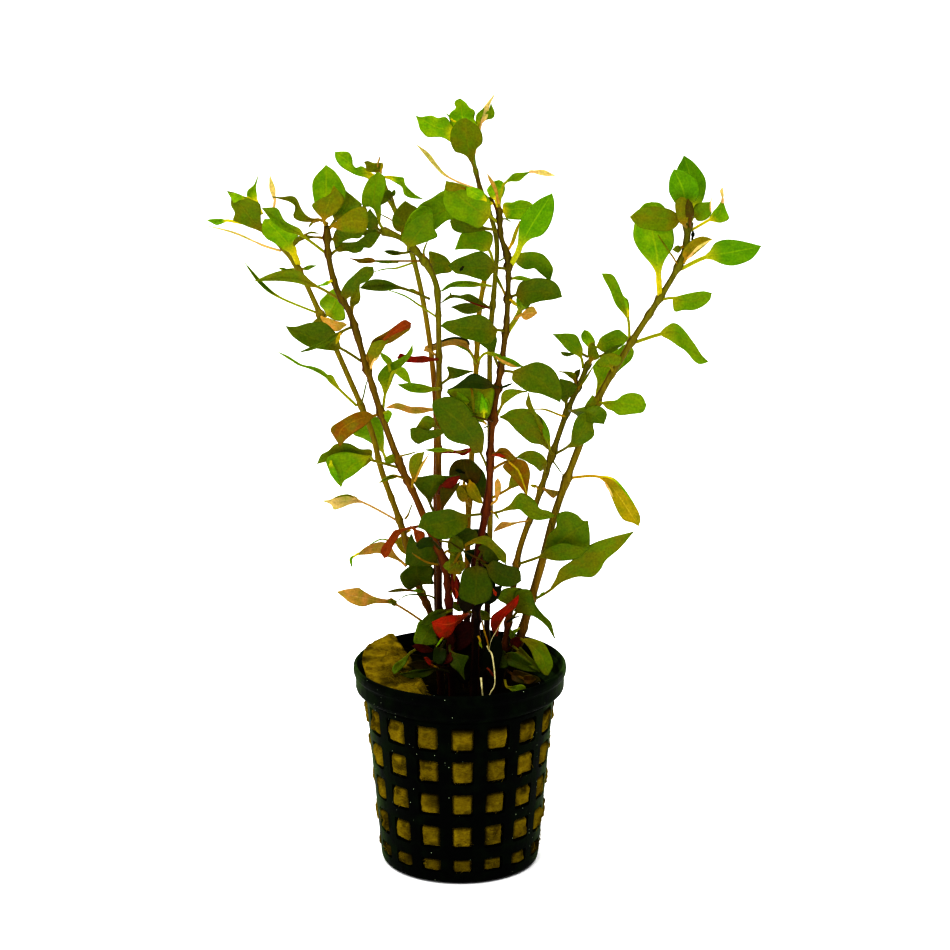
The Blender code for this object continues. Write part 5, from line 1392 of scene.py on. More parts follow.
    "dark_front": leaves("""
OLIVE 8: 468,190,-4 464,188,-5.2 455,186,-6 446,181,-5.4 | 458,183.5 | 455,191 446,190;
YOUNG 8: 492,204,-2 486,200,-4 476,194,-5.4 466,188,-6 | 484,192 474,187.5 | 478,200 468,196;
DARK 8 shade=1.1: 498,232,0 490,229,-0.6 470,227,-1.4 450,221,-2 | 478,224 464,219 454,218.5
    | 475,232 462,233 453,229.5;
GREEN 10: 494,268,0 489,250,1 475,243,2 455,249.5,2 | 493,240 490,232 472,230 462,233 458,241
    | 483,252 476,249.5 466,249;
YOUNG 8: 498,208,0 496,200,2 497,190,4 499,180,5 | 490,197 487,190 491,184 495,181 | 502,197 505,189 503,182;
ORANGE 8: 500,208,0 497,197,1 492,182,2 487.5,174,3 | 494,190 489,180 | 498,192 494,182 490,177;
BROWN 20 width=1.4: 497,212,0 494,204,-1 490,200,-1 484,197,-1;
GREEN 16: 499,207,0 504,184,3 517,178,4 531,171.5,4 | 508,179 514,173.5 524,172.5 | 510,181.5 519,181 526,175;
PALE 20: 529,172,4 532,171.5,4 541,172.5,4 555,175.5,4 | 536,170.3 544,170 | 537,174 547,176;
YOUNG 12: 500,212,0 503,211,2 515,209,4 534,207,6 | 504,203 512,202.5 520,200 528,201.5 532,204
    | 506,217.5 513,219.3 522,219.5 530,217;
YELLOW 20: 508,250,0 511,245,1 515,234,2 520,221,3 | 511,242 515,230 | 514,243 518,231;
GREEN 30: 509,279,0 512,278.5,1 520,278.5,2 531,279,3 | 516,276.3 522,276 | 518,280 526,280.5;
GREEN 16 stalk=1.2: 508,331,0 519,313,3 521,300,6 530,288,8 | 516.5,304 517,296 522,290 | 528,307 532,300;
YELLOW 20 width=1.1: 508,300,-0.6 511,300,-1.2 514,303,-1.2 517,306,-1;
ORANGE 20: 514,320,2 521,315,2 529,313,3 537.5,313,3 | 526,309 533,306.5 | 525,320 532,317.5;
DEEP 10 width=0.8 shade=0.4: 463,267,-8 462.5,267.5,-9 461.5,269,-9 460,271,-9;
DARK 10 width=0.4: 506,257,0 504,258,-0.8 501,260,-0.8 498,261,-0.8;
DARK 10 width=0.4: 501,219,0 503,219,-0.8 506,219,-0.8 511,222,-0.8;
OLIVE 40 width=1.2: 507,299,0 504,292,1 498,280,3 493,268,4;
DARK 10: 499,368,0 494,356,2 490,346,3 486,335,4 | 487,349 480,343 481,337 | 495,350 497,340 494,334;
GREEN 12: 478,361,1 487,353,0.4 505,361,-1.2 523,366.5,-1.8 | 494,352.5 505,356.5 514,360
    | 494,357 503,363.5 512,367;
ORANGE 12 width=0.9: 496,357,-1.2 499,359,-1.8 508,364,-2.2 517,367,-2.6;
DEEP 12 shade=1.2: 500,388,0 493,386,-3 472,382,-5 447,390,-6 | 487,379 473,373.5 463,380 455,386
    | 485,389 470,388 455,388.5;
MOSS 4: 497,386,0 486,387,-2 479,400,-3 482,421,-3 | 465,386 447,390 453,399 466,412 474,419
    | 494,388 493,402 489,416;
GREEN 4: 482,421,-3.6 482,412,-4 481,402,-4 479,390,-3.4 | 475,414 474,400 | 490,414 488,400;
FRESH 4 shade=1.15: 484,420,-4 484,412,-4.4 483,404,-4.4 482,394,-4 | 480,413 480,404 | 488,413 487,404;
GREEN 4: 472,414,-3.6 466,405,-4 461,399,-4 454,391,-3.6 | 462,404 456,398 | 470,402 462,394;
OLIVE 4 width=0.9 shade=0.75: 471,388,-3.8 472,391,-4.2 473,402,-4.4 474,415,-4.2;
BROWN 10 width=0.55 shade=0.7: 493,421.5,-1 487,420,-5.4 480,418,-6.4 472,416,-6.4;
DARK 10 width=0.4: 490,425,0 488,426,-1 486,427,-1 483,428,-1;
YELLOW 10 width=0.8: 486,424,-1 484,422,-2 481,421,-2.2 478,421,-2.2;
MOSS 10: 497,416,0 502,405,-2 510,395,-3 527,391.5,-4 | 501,397 504,391 512,389 | 506,402.5 514,396.5 521,393;
DEEP 10 width=0.7: 497,390,0 500,388,-1 506,386,-1.5 513,383,-2;
ORANGE 10: 487,506,0 496.5,500,-1 498,490,-1.5 498,478,-2 | 495,494 495,482 | 500,494 501,485;
OLIVE 10: 488,500,0 508,489,-1 514,482,-1.5 516,470,-2 | 509,484 511,476 | 516,487 522,482;
RUST 12 shade=0.85: 492,455,0 495,454,-3 504,453.5,-4 517,458.5,-5 | 499,448.5 506,448.3 512,453.5
    | 498,456.5 506,459.5 512,460.5;
RED 12 width=1: 492,455,-0.4 494,455,-3.4 499,455,-4.4 505,457,-4.8;
YELLOW 10 width=0.5: 509,461,-3.4 510,463,-4.4 519,472,-6 527,494,-7;
OLIVE 10 width=0.7: 491,511,-1 494,513,-1.5 496,514.5,-1.5 499,519.5,-2;
DARK 8 shade=0.58: 477,560,0 477,566,-3 476,585,-5 475,605,-6 | 464,570 460,585 460,598
    | 487,570 492.5,585 489,600;
BROWN 8 shade=0.14: 476,620,-1 474,608,-1 468,600,-1 458,596,-1 | 472,596 464,594 | 464,612 459,604;
DEEP 8 width=2.6 shade=0.35: 477,608,-0.6 484,602,-0.6 490,599,-0.6 498,598,-0.6;
DEEP 8 shade=0.35: 480,606,-1 488,598,-1.8 495,592,-2 502,586,-2 | 485,594 493,587 | 491,603 499,596;
DARK 10 shade=0.55: 475,566,-1 482,552,-2 490,548,-2.4 500,560,-2.4 | 478,548 488,543 497,550
    | 484,562 492,563;
DARK 10 shade=0.6: 486,548,0 478,540,-1 468,533,-1.6 453,541,-2 | 476,531 464,528 455,533 | 472,545 462,546;
BROWN 10 width=0.5 shade=0.6: 487,563,-3 475,557,-5 462,550,-6 450,542,-6;
DEEP 8 shade=0.35: 478,604,-1.6 484,590,-2 489,575,-2.4 488,561,-2 | 481,585 483,570
    | 494,592 495,575 492,565;
RUST 10 width=0.45: 482,621,-1 484,630,-3 487,640,-5 489,649,-7;
OLIVE 10 width=0.7: 478,636,-9 480,640,-9.5 480,643,-9.5 482,648,-9.5;
RED 10 width=0.7 shade=0.45: 487,668,-9 490,671,-9.6 492,674,-9.6 494,677,-9.6;
DEEP 8 shade=0.25: 476,690,0 484,670,0.6 492,650,0.6 500,636,0.6 | 480,664 490,640 | 492,680 502,655;
DARK 12 shade=0.5: 479,560,0 487,566,-4 503,575,-5 521,581,-6 | 494,560.5 505,564.5 519,569.5
    | 489,576 498,585 512,586.5;
DEEP 8 width=5.5: 480,566,0 495,566,3 482,560,3 464,552,3;
DEEP 8 width=2.2: 483,542,0 488,537,1 478,533,2 468,531,2;
RED 10 width=1: 492,588,-5 494,591,-6 495,593,-6 496,596,-6
"""),
    "right_thin": leaves("""
GREEN 12: 583,368,0 581,357,-1 572,345,-2 553,334,-3 | 583,350 580,342 576,335 567,333.5
    | 576,355 568,350.5 562,344 556,337.5;
DARK 30: 588,357,0 578,352.5,1 568,354.5,1 561,352,1 | 572,353 565,352 | 574,354.5 567,356.5 562,354.5;
YOUNG 8: 589,362,0 591,348,1 588,338,2 584,330,2 | 587,346 582,340 581.3,334 | 595,342 591,334 587,330.5;
GREEN 12: 592,352,0 597,347,1 611,341,2 629,338,3 | 600,338.5 609,332.5 618,329.5 624,333
    | 603,352 613,350 623,345;
DARK 12: 592,358,0 602,355.5,0.4 611,350.5,0.6 622,344,0.8 | 606,350.5 613,346.5 | 607,355.5 614,352.5;
OLIVE 12: 588,366,0 591,361,-1 593,352,-1 594,342,-1 | 588,356 588,348 591,343 | 599,358 597,350;
DARK 10: 566,410,0 566,403,-1 567,392,-2 560,379,-3 | 561,399 558,388 | 569,398 577,388 572,381.5 566,380;
OLIVE 16: 576,387,0 575,381,-1 569,374,-1.5 559,371.5,-2 | 576,375 570,371.7 | 570,377.5 564,373;
BROWN 10: 577,387,0 576.5,380,-0.5 578,374,-0.5 580,369,-0.5 | 574,377 575,371.5 | 578.5,377 580,373;
OLIVE 20 width=0.7: 577,390,0 578,389,-1 584,381,-1.2 594,365,-1.2;
OLIVE 16: 551,452,0 544,436,-4 538,422,-7 530,408,-9 528.5,392.5,-9 | 540,430 533,415 526,405 527,398
    | 546,434 541,422 533,407 530,398;
GREEN 8 width=1.8: 550,449,-2.4 549,444,-4 546,433,-5.4 543,420,-6.4;
YELLOW 20 width=0.65: 566,416,0 561,415.5,-2 545,409.5,-4 534,409.5,-5;
MOSS 14: 545,474,0 544,468,-2 537,458,-4 516,457.5,-5 | 547,462 541,454 531,450.5 522,453
    | 541,472 535,466.5 529,463 524,460;
DARK 14: 569,411,0 572,411,-7 588,412,-15 604,424,-17 | 582,407.5 598,406 607,413 | 577,416.5 586,421 595,423;
ORANGE 14 shade=0.7: 542,488,0 544,488.5,-1 552,492,-1.5 560,491.5,-2 | 553,490 | 545,491 553,498 558,494;
YELLOW 14 width=1: 539,491,0 537,487,-1 534,486,-1.5 530,485,-2;
DARK 14 width=0.4: 552,459,0 553,461,-0.8 558,468,-1 563,475,-1;
DARK 14 shade=1.15: 519,564,-4 541,556.5,-6.4 560,552,-9.4 589,547,-10.4 | 549,548 563,543.5 578,546.5
    | 551,560 566,560.5 580,557;
MOSS 12 shade=0.8: 512,608,-3 511,603,-5.4 506,597,-6.4 497,598,-7 | 523,590 513,587.5 504,589 499,593.5
    | 516,612 506,604 500,601;
DARK 12 shade=0.7: 504,650,0 502,656,-3 518,663,-5 540,672,-6 | 513,652 526,660 536,668
    | 498,660 510,666 525,671;
DARK 12 shade=0.5: 512,655,0 506,655,-4 500,656,-5 494,664,-6 | 504,651 498,652 | 508,667 500,669;
MOSS 12 shade=0.6: 510,644,-1 519,651,-3 528,659,-5 540,672,-6.6 | 520,647 530,657 536,663
    | 514,653 524,662 532,668;
BROWN 12 shade=0.6: 504,668,-2 512,674,-5 524,679,-7 541,681,-8 | 516,670 530,674 538,677
    | 512,680 522,684 532,684;
RUST 12 shade=0.45: 518,676,-6 524,679,-7.4 530,681,-8 536,679,-8 | 524,676 531,675 | 524,683 531,684;
MOSS 12 shade=0.85: 505,680,-5 507,687,-9 515,690,-10 523,696,-11 | 514,686 521,684.5 526,688
    | 510,690 517,694;
RED 12 shade=0.25: 506,652,-1 512,646,-1.4 516,642,-1.6 522,639,-1.8 | 510,641 516,637 | 516,649 521,644;
DEEP 10 width=0.45 shade=0.4: 507,622,-1 511,619.5,-2 515,617.5,-3 520,616,-4;
MOSS 10 width=1.5 shade=0.8: 512,646,-1 512,640,-1 512,634,-1 510,629,-1;
ORANGE 24 stalk=0.4: 530,521,0 520,522,-3 508,524,-5 493.5,532,-6 | 512,522.5 502,522 496,527.5
    | 513,525 503,528.5
"""),
    "right_thick": leaves("""
FRESH 8: 688,222,0 686,208,-3 683,190,-4 674,169.5,-3 | 678,206 674,201 669.5,193 669,184 670.5,176
    | 696,200 700,190 697,180 688,173 679,170;
OLIVE 8: 688,228,0 684,224,-4 681,212,-5.6 681,197,-6.4 | 679,222 675.5,210 676,201 | 688,220 688,205 686,199;
BROWN 8: 690,228,0 690,222,-4 690,210,-6 688,199,-6.6 | 686,215 686,204 | 694,214 692,204;
GREEN 14: 690,224,0 694,216,-1 702,212,-2 710,202,-2 | 694,207 699,203 706,202.2 | 697,220.5 705,220 711,214;
PALE 14 width=0.4: 711,213,-2 710.5,209,-2.4 710.5,204,-2.4 711.5,198,-2.4;
YOUNG 12: 688,232,0 709,220,2 719,214,3 722.5,198,3 | 712,213 718,206 | 716,222 722,222.5 729,218.5 726,210;
PALE 12: 722.5,203,3 722.6,199,3 721.2,193,3 722.3,187.5,3 | 721.5,196 720,191 | 723.7,196 723,190;
YELLOW 16 shade=0.75: 684,263,0 686,259,-3 696,246,-5 712,239,-6 | 682.5,254 686,246 694,239 703,236.5
    | 691,257 699,250.5 706,244.5;
PALE 16 width=0.8: 688,258,-4 691,255,-5.6 699,247,-6.6 712,239.5,-7.4;
DEEP 10 width=1 shade=0.4: 692,240,-0.6 692.5,237.5,-0.8 693,234,-0.8 693,230.5,-0.8;
OLIVE 10 width=0.45: 679,267,0 673,257,-2 666,247,-3 658,235,-3.4;
OLIVE 16: 686,246,0 682,247,-1 677,248.5,-2 672.5,249.5,-2 | 677,245.5 | 679,252.5 675,251.5;
YOUNG 16 width=0.7: 628,316,1.4 628,312,0.8 626,303,0.8 623,295.5,1;
GREEN 8: 598,403,0 597,392,1.5 605,370,2.5 632,347,2.5 | 597,380 593,368 600,358 614,352 626,344
    | 606,388 612,378 622,368 631,360 634,352;
MOSS 8: 614,374,0 611,366,-2 609,361,-2.4 604,355,-2.8 | 605,367 598,366 598,360 | 618,366 622,358 612,353;
MOSS 10: 600,402,0 598,402,-1 592,405,-2 584,407.5,-3 | 593,395 588,401 | 592,408;
PALE 10 width=0.6: 606,484,-3.6 607,486,-4.8 610,491,-5.2 613,497,-5.2;
YOUNG 10 width=0.5: 601,477,-3 609,477.4,-4.6 620,485,-5.6 634,504,-6.6;
GREEN 10 width=0.8: 536,598,-0.6 540,596,-1.4 542,594,-1.6 544,592,-1.6;
GREEN 10 width=1.2: 520,628,-0.6 518,629,-1.6 514,632,-1.8 509,636,-1.8;
MOSS 14/10: 518,640,0 523,640,-4 540,655,-7 548,675.5,-9 | 530,638.5 542,642 549,652 553,665
    | 530,650 536,664 543,674
"""),
}


@dataclass(frozen=True)
class NetPot:
    """The net pot: a tapered wall of 16 columns and 5 rows of windows, a banded rim and a slotted floor.

    Rows are the windows' lowest and highest heights, and the rim is its radii and heights. A column's share
    runs from -1/2 to 1/2 across it, and the window takes the middle of it.
    """

    columns: int = 16
    turn: float = 1.9
    window_share: float = 0.65
    corner: float = 0.22
    wall: float = 1.2
    base_radius: float = 20.4
    top_radius: float = 24.4
    wall_top: float = 45.5
    band_radius: float = 26.9
    rows: tuple[tuple[float, float], ...] = (
        (2.9, 6.6), (9.6, 15.9), (18.8, 25.0), (27.7, 34.2), (36.6, 43.5))
    lowest_bar: float = 1.2
    highest_bar: float = 1.0
    shoulder_step: float = 0.2
    shoulder_gap: float = 0.4
    rim: tuple[tuple[float, float], ...] = (
        (26.9, 48.4), (26.9, 49.9), (27.05, 50.3), (27.4, 50.8), (27.5, 51.6), (27.4, 52.4), (27.05, 52.85),
        (26.6, 53.0))
    hub_hole: float = 0.6
    hub_radius: float = 7.0
    slot_end: float = 16.0
    edge_mm: float = 0.28

    def radius_at(self, height: np.ndarray) -> np.ndarray:
        """The wall's outer radius: a straight line from the base to the shoulder."""
        return self.base_radius + (self.top_radius - self.base_radius) * height / self.wall_top

    def across(self) -> np.ndarray:
        """Six places across a cell from -1 to 1: its edges, the starts of its corners, and two between."""
        return np.array([-1.0, -1 + self.corner, -0.3, 0.3, 1 - self.corner, 1.0])

    def ring(
        self, corners: np.ndarray, radii: np.ndarray, quads: np.ndarray
    ) -> tuple[np.ndarray, np.ndarray]:
        """One cell repeated in every column: a corner goes round by its column and share, at its radius.

        Args:
            corners: the cell's corners: shares of a column, and heights.
            radii: the corners' radii.
            quads: the cell's faces.

        Returns:
            points in millimetres and quads.
        """
        column = np.arange(self.columns)[:, None]
        start = math.radians(self.turn) - math.pi / 2
        theta = start + (column + corners[:, 0]) * (2 * math.pi / self.columns)
        places = np.broadcast_arrays(radii * np.cos(theta), radii * np.sin(theta), corners[:, 1])
        faces = quads + (column * len(corners))[..., None]
        return np.stack(places, axis=-1).reshape(-1, 3), faces.reshape(-1, 4)

    def band(self, lower: tuple[float, float], upper: tuple[float, float]) -> tuple[np.ndarray, np.ndarray]:
        """A plain band all round the pot.

        Args:
            lower: the radius and height of its start.
            upper: those of its end.

        Returns:
            points in millimetres and quads.
        """
        step = self.across() / 2
        corners = np.concatenate([np.stack([step, np.full(6, height)], 1) for _, height in (lower, upper)])
        here = np.arange(5)
        quads = np.stack([here, here + 1, here + 7, here + 6], axis=1)
        return self.ring(corners, np.repeat([lower[0], upper[0]], 6), quads)

    def windows(self, row: tuple[float, float], bottom: float, top: float) -> tuple[np.ndarray, np.ndarray]:
        """A row of windows: quads between each cell's straight border and its rounded window.

        Args:
            row: the windows' lowest and highest height.
            bottom: the cell's lowest height.
            top: its highest.

        Returns:
            points in millimetres and quads.
        """
        step, ones = self.across()[:-1], np.ones(5)
        p = np.concatenate([step, ones, -step, -ones])
        q = np.concatenate([-ones, step, ones, -step])
        border = np.stack([p / 2, bottom + (top - bottom) * (q + 1) / 2], axis=1)
        # The four corners are pulled in, and the bevel then rounds them.
        corner = (np.abs(p) > 0.99) & (np.abs(q) > 0.99)
        pull = np.where(corner, 1 - self.corner * 0.3, 1.0)
        low, high = row
        window = np.stack(
            [p * pull * self.window_share / 2, (low + high) / 2 + (high - low) / 2 * q * pull], axis=1
        )
        here = np.arange(len(p))
        after = (here + 1) % len(p)
        quads = np.stack([here, after, after + len(p), here + len(p)], axis=1)
        corners = np.concatenate([border, window])
        return self.ring(corners, self.radius_at(corners[:, 1]), quads)

    def floor_bars(self) -> list[tuple[np.ndarray, np.ndarray]]:
        """The floor's bars, one on each side of every slot: flat quads from the hub to the slots' ends.

        Returns:
            points in millimetres and quads for each side.
        """
        side = self.window_share / 2
        radii = np.array([self.hub_radius, self.hub_radius, self.slot_end, self.slot_end])
        bars = []
        for low, high in ((-0.5, -side), (side, 0.5)):
            corners = np.array([[low, 0.0], [high, 0.0], [high, 0.0], [low, 0.0]])
            bars.append(self.ring(corners, radii, np.array([[0, 1, 2, 3]])))
        return bars

    def skin(self) -> tuple[np.ndarray, np.ndarray]:
        """The pot's outer skin: rows of windows, then bands for the shoulder, rim and foot, then the floor.

        The shoulder turns out by sin(pi t / 2)^1.5 while it rises by 1.5 t + 0.6 t^2.

        Returns:
            points in millimetres and quads.
        """
        edges = [self.rows[0][0] - self.lowest_bar]
        edges += [(below[1] + above[0]) / 2 for below, above in zip(self.rows, self.rows[1:])]
        edges += [self.rows[-1][1] + self.highest_bar]
        parts = [self.windows(row, bottom, top) for row, bottom, top in zip(self.rows, edges, edges[1:])]
        inner = self.top_radius - self.shoulder_step
        turned_out = self.band_radius - self.top_radius + self.shoulder_step
        shoulder = [
            (inner + turned_out * math.sin(t * math.pi / 2) ** 1.5,
             edges[-1] + self.shoulder_gap + (1.5 * t + 0.6 * t * t)) for t in np.linspace(0, 1, 6)
        ]
        rim = [(float(self.radius_at(np.array(edges[-1]))), edges[-1]), *shoulder, *self.rim]
        foot = [(self.slot_end, 0.0), (self.base_radius - 0.8, 0.0), (self.base_radius - 0.2, 0.2),
                (self.base_radius, 0.8), (float(self.radius_at(np.array(edges[0]))), edges[0])]
        for profile in (rim, foot):
            parts += [self.band(lower, upper) for lower, upper in zip(profile, profile[1:])]
        parts += self.floor_bars()
        parts.append(self.band((self.hub_hole, 0.0), (self.hub_radius, 0.0)))
        starts = np.cumsum([0] + [len(points) for points, _ in parts[:-1]])
        faces = [quads + start for (_, quads), start in zip(parts, starts)]
        return np.concatenate([points for points, _ in parts]), np.concatenate(faces)

    def build(self, finish: MouldedPolypropylene) -> None:
        """Builds and dresses the pot: its skin made 1.2 mm thick inwards, with rounded edges.

        Args:
            finish: its plastic.
        """
        points, faces = self.skin()
        mesh = bpy.data.meshes.new("latticed_pot")
        mesh.from_pydata((points * MM).tolist(), [], faces.tolist())
        mesh.materials.append(finish.material("black_polypropylene"))
        piece = bpy.data.objects.new("latticed_pot", mesh)
        bpy.context.scene.collection.objects.link(piece)
        weld = piece.modifiers.new("weld", "WELD")
        weld.merge_threshold = 0.02 * MM
        wall = piece.modifiers.new("wall", "SOLIDIFY")
        wall.thickness = self.wall * MM
        wall.offset = -1.0
        wall.use_even_offset = True
        edges = piece.modifiers.new("edges", "BEVEL")
        edges.width = self.edge_mm * MM
        edges.segments = 2
        edges.limit_method = "ANGLE"
        edges.angle_limit = math.radians(40)
        hand_over(piece, "net_pot")


@dataclass(frozen=True)
class RockWool:
    """The rock wool: a plug that bulges out through the windows, and a lump left standing on the left.

    The lump begins at a line over the top, from a place at the back to one in front. Its back is heaped.
    """

    pot: NetPot
    gap: float = 0.5
    bottom: float = 1.6
    top: float = WOOL_TOP
    lump_top: float = 52.2
    lump_radius: float = 25.2
    heap: float = 2.6
    edge_back: tuple[float, float] = (-12.8, 18.5)
    edge_front: tuple[float, float] = (-4.5, -22.0)
    bulge: float = 1.5
    around: int = 320
    levels: int = 120
    fibres: int = 2600
    fibre_radius: float = 0.05

    def inner_radius(self, height: np.ndarray) -> np.ndarray:
        """The radius that fits inside the wall."""
        return self.pot.radius_at(height) - self.pot.wall - self.gap

    def window_mask(self, theta: np.ndarray, height: np.ndarray) -> np.ndarray:
        """From 0 behind the bars to 1 in a window: a product of two clipped slopes, across it and up it.

        Args:
            theta: angles round the pot.
            height: heights in millimetres.

        Returns:
            the mask.
        """
        share = (theta + math.pi / 2 - math.radians(self.pot.turn)) / (2 * math.pi) * self.pot.columns
        off = np.abs(share - np.round(share)) / (self.pot.window_share / 2)
        mask = np.zeros_like(height)
        for low, high in self.pot.rows:
            up = np.abs(height - (low + high) / 2) / ((high - low) / 2)
            mask = np.maximum(mask, np.clip((1 - up) * 3.2, 0, 1))
        return mask * np.clip((1 - off) * 3.2, 0, 1)

    def top_height(self, x: np.ndarray, y: np.ndarray) -> np.ndarray:
        """The height of the top: level, with a smooth step up to the lump beyond its line, and noise.

        Args:
            x: places to the right, in millimetres.
            y: places to the back.

        Returns:
            the heights in millimetres.
        """
        (xb, yb), (xf, yf) = self.edge_back, self.edge_front
        spots = np.stack([x, y, 0 * x], 1)
        beyond = ((yb - yf) * (xf - x) + (xb - xf) * (y - yf)) / math.hypot(xb - xf, yb - yf)
        beyond = beyond + 1.2 * value_noise(spots, 4.0, 3)
        rise = np.clip(beyond / 4.0, 0, 1) * np.clip((22 - y) / 4, 0, 1)
        rise = rise * rise * (3 - 2 * rise)
        rough = layered_noise(spots, (0.55, 3.2, 11), (0.3, 1.3, 12), (0.15, 0.6, 13))
        heaped = self.heap * np.clip((-10 - x) / 7, 0, 1) * np.clip((y + 8) / 12, 0, 1)
        return self.top + (self.lump_top - self.top + heaped) * rise + rough * (0.9 - 0.25 * rise)

    def side_rings(self, theta: np.ndarray) -> list[np.ndarray]:
        """The plug's side: circles that fit the wall, pushed out in the windows by the bulge and its noise.

        Args:
            theta: the angles round the pot.

        Returns:
            a ring of points for each level.
        """
        rings = []
        for height in np.linspace(self.bottom, self.top - 0.4, self.levels):
            z = np.full(self.around, height)
            radius = self.inner_radius(z)
            spots = np.stack([radius * np.cos(theta), radius * np.sin(theta), z], 1)
            rough = layered_noise(spots, (0.5, 2.4, 1), (0.3, 1.0, 2), (0.2, 0.5, 4))
            swell = self.gap + self.pot.wall * 0.6 + self.bulge * (0.45 + 0.55 * rough)
            radius = radius + self.window_mask(theta, z) * swell + 0.1 * rough
            rings.append(np.stack([radius * np.cos(theta), radius * np.sin(theta), z], 1))
        return rings

    def top_rings(self, theta: np.ndarray) -> list[np.ndarray]:
        """The plug's top: circles that shrink to the middle, and spread where the lump stands over the wall.

        Args:
            theta: the angles round the pot.

        Returns:
            a ring of points for each circle.
        """
        rings = []
        rim = float(self.inner_radius(np.array(self.top)))
        for share in np.concatenate([np.linspace(1.0, 0.85, 12), np.linspace(0.83, 0.03, 44)]):
            x, y = rim * share * np.cos(theta), rim * share * np.sin(theta)
            height = self.top_height(x, y)
            high = np.clip((height - self.top - 1.5) / 3, 0, 1) * np.clip((share - 0.7) / 0.25, 0, 1)
            grow = 1 + (self.lump_radius / rim - 1) * high
            rings.append(np.stack([x * grow, y * grow, height], 1))
        return rings

    def plug(self) -> Surface:
        """The plug's closed skin: rings up its side, then inwards over its top to the middle.

        Returns:
            the surface.
        """
        theta = np.linspace(-math.pi, math.pi, self.around, endpoint=False)
        stack = np.stack(self.side_rings(theta) + self.top_rings(theta))
        v = np.linspace(0, 1, len(stack))
        uv = np.stack(np.broadcast_arrays((theta / (2 * math.pi) + 0.5)[None, :], v[:, None]), axis=-1)
        surface = Surface.swept(stack, uv)
        points = surface.points
        # Some windows are darker in patches and spots, and the whole lowest row is darker towards the bottom.
        low = np.clip((9.5 - points[:, 2]) / 2, 0, 1)
        patches = np.clip(value_noise(points, 6.0, 23) * 2.2 - 0.4, 0, 1)
        spots = np.clip(value_noise(points, 1.8, 24) * 2.4 - 0.5, 0, 1)
        shade = (1 + 0.3 * value_noise(points, 5.0, 21)) * (1 - 0.4 * low) * (1 - 0.65 * patches)
        # Painted shade: the top to the right of the lump is darkened nearly to black, over its silted debris.
        surface.shade = shade * (1 - 0.5 * spots) * self.clear_of_silt_and_shade(points)
        return surface

    def clear_of_silt_and_shade(self, points: np.ndarray) -> np.ndarray:
        """From 1 to nearly 0 on the top right of a line beside the lump: silted debris and painted shade.

        Args:
            points: places in millimetres, as an (n, 3) array.

        Returns:
            a factor for the shade of each.
        """
        x, y, z = points.T
        # Silted debris and painted shade together darken the top to the right of the line.
        silt_and_shade = np.clip((x + 13.5 + 0.3 * y + 1.5 * value_noise(points, 2.0, 22)) / 2.5, 0, 1)
        return 1 - 0.97 * silt_and_shade * np.clip((z - self.top + 2.5) / 1.5, 0, 1)

    def strands(self) -> Surface:
        """Loose fibres: three-sided threads that leave the plug's skin on shallow arcs, each a parabola.

        Returns:
            all of them as one surface.
        """
        draw = np.random.default_rng(5)
        count = self.fibres
        on_top = draw.random(count) < 0.3
        theta = draw.uniform(-math.pi, math.pi, count)
        z = draw.uniform(self.bottom + 1, self.top - 0.5, count)
        swell = self.gap + self.pot.wall * 0.6 + self.bulge * 0.5
        radius = self.inner_radius(z) + self.window_mask(theta, z) * swell
        side = np.stack([radius * np.cos(theta), radius * np.sin(theta), z], 1)
        side_out = np.stack([np.cos(theta), np.sin(theta), 0 * theta], 1)
        reach = np.sqrt(draw.random(count)) * 22.0
        x, y = reach * np.cos(theta), reach * np.sin(theta)
        over = np.stack([x, y, self.top_height(x, y)], 1)
        start = np.where(on_top[:, None], over, side)
        out = np.where(on_top[:, None], np.array([[0.0, 0.0, 1.0]]), side_out)
        drift = unit(draw.normal(size=(count, 3)))
        along = unit(drift - (drift * out).sum(1, keepdims=True) * out)
        length = draw.uniform(0.8, 2.6, count)
        share = np.linspace(0, 1, 5)
        lift = draw.uniform(0.05, 0.45, count)
        arc = lift[:, None] * (4 * share * (1 - share))[None, :] - 0.12
        centre = (
            start[:, None, :]
            + along[:, None, :] * (share[None, :, None] - 0.5) * length[:, None, None]
            + out[:, None, :] * arc[..., None]
        )
        third = np.cross(along, out)
        turn = np.arange(3) * 2 * math.pi / 3
        rings = centre[:, :, None, :] + self.fibre_radius * (
            np.cos(turn)[None, None, :, None] * out[:, None, None, :]
            + np.sin(turn)[None, None, :, None] * third[:, None, None, :]
        )
        # Fibres on the top right of the lump take its darkening: silted debris and painted shade.
        bright = draw.uniform(0.7, 1.6, count) * self.clear_of_silt_and_shade(start)
        uv = np.zeros((5, 3, 2))
        return Surface.joined([Surface.swept(rings[i][:, ::-1], uv, bright[i]) for i in range(count)])

    def build(self, finish: WetRockWool) -> None:
        """Builds and dresses the plug and its loose fibres.

        Args:
            finish: their wet wool.
        """
        wool = [finish.material("wet_rock_wool")]
        for name, surface in (("rock_wool_plug", self.plug()), ("rock_wool_fibres", self.strands())):
            hand_over(surface.add_object(name, wool), "rock_wool")


@dataclass(frozen=True)
class Root:
    """A thin pale root: a round tube carried along its route, which thins evenly to 0.6 of its radius."""

    radius: float
    route: tuple[tuple[float, ...], ...]
    stations: int = 60
    around: int = 8

    def surface(self) -> Surface:
        """The root's closed skin.

        Returns:
            the surface, with U along it and V around it.
        """
        spots = VIEW.points(np.array(self.route, float))
        centre = smooth_curve(spots, np.linspace(0, len(spots) - 1, self.stations))
        waver = 1 + 0.15 * value_noise(centre, 1.0, 9)
        rings, turn = tube(centre, self.radius * waver * np.linspace(1.0, 0.6, self.stations), self.around)
        share = np.linspace(0, 1, self.stations)
        uv = np.stack(np.broadcast_arrays(share[:, None], (turn / (2 * math.pi))[None, :]), axis=-1)
        return Surface.swept(rings, uv)


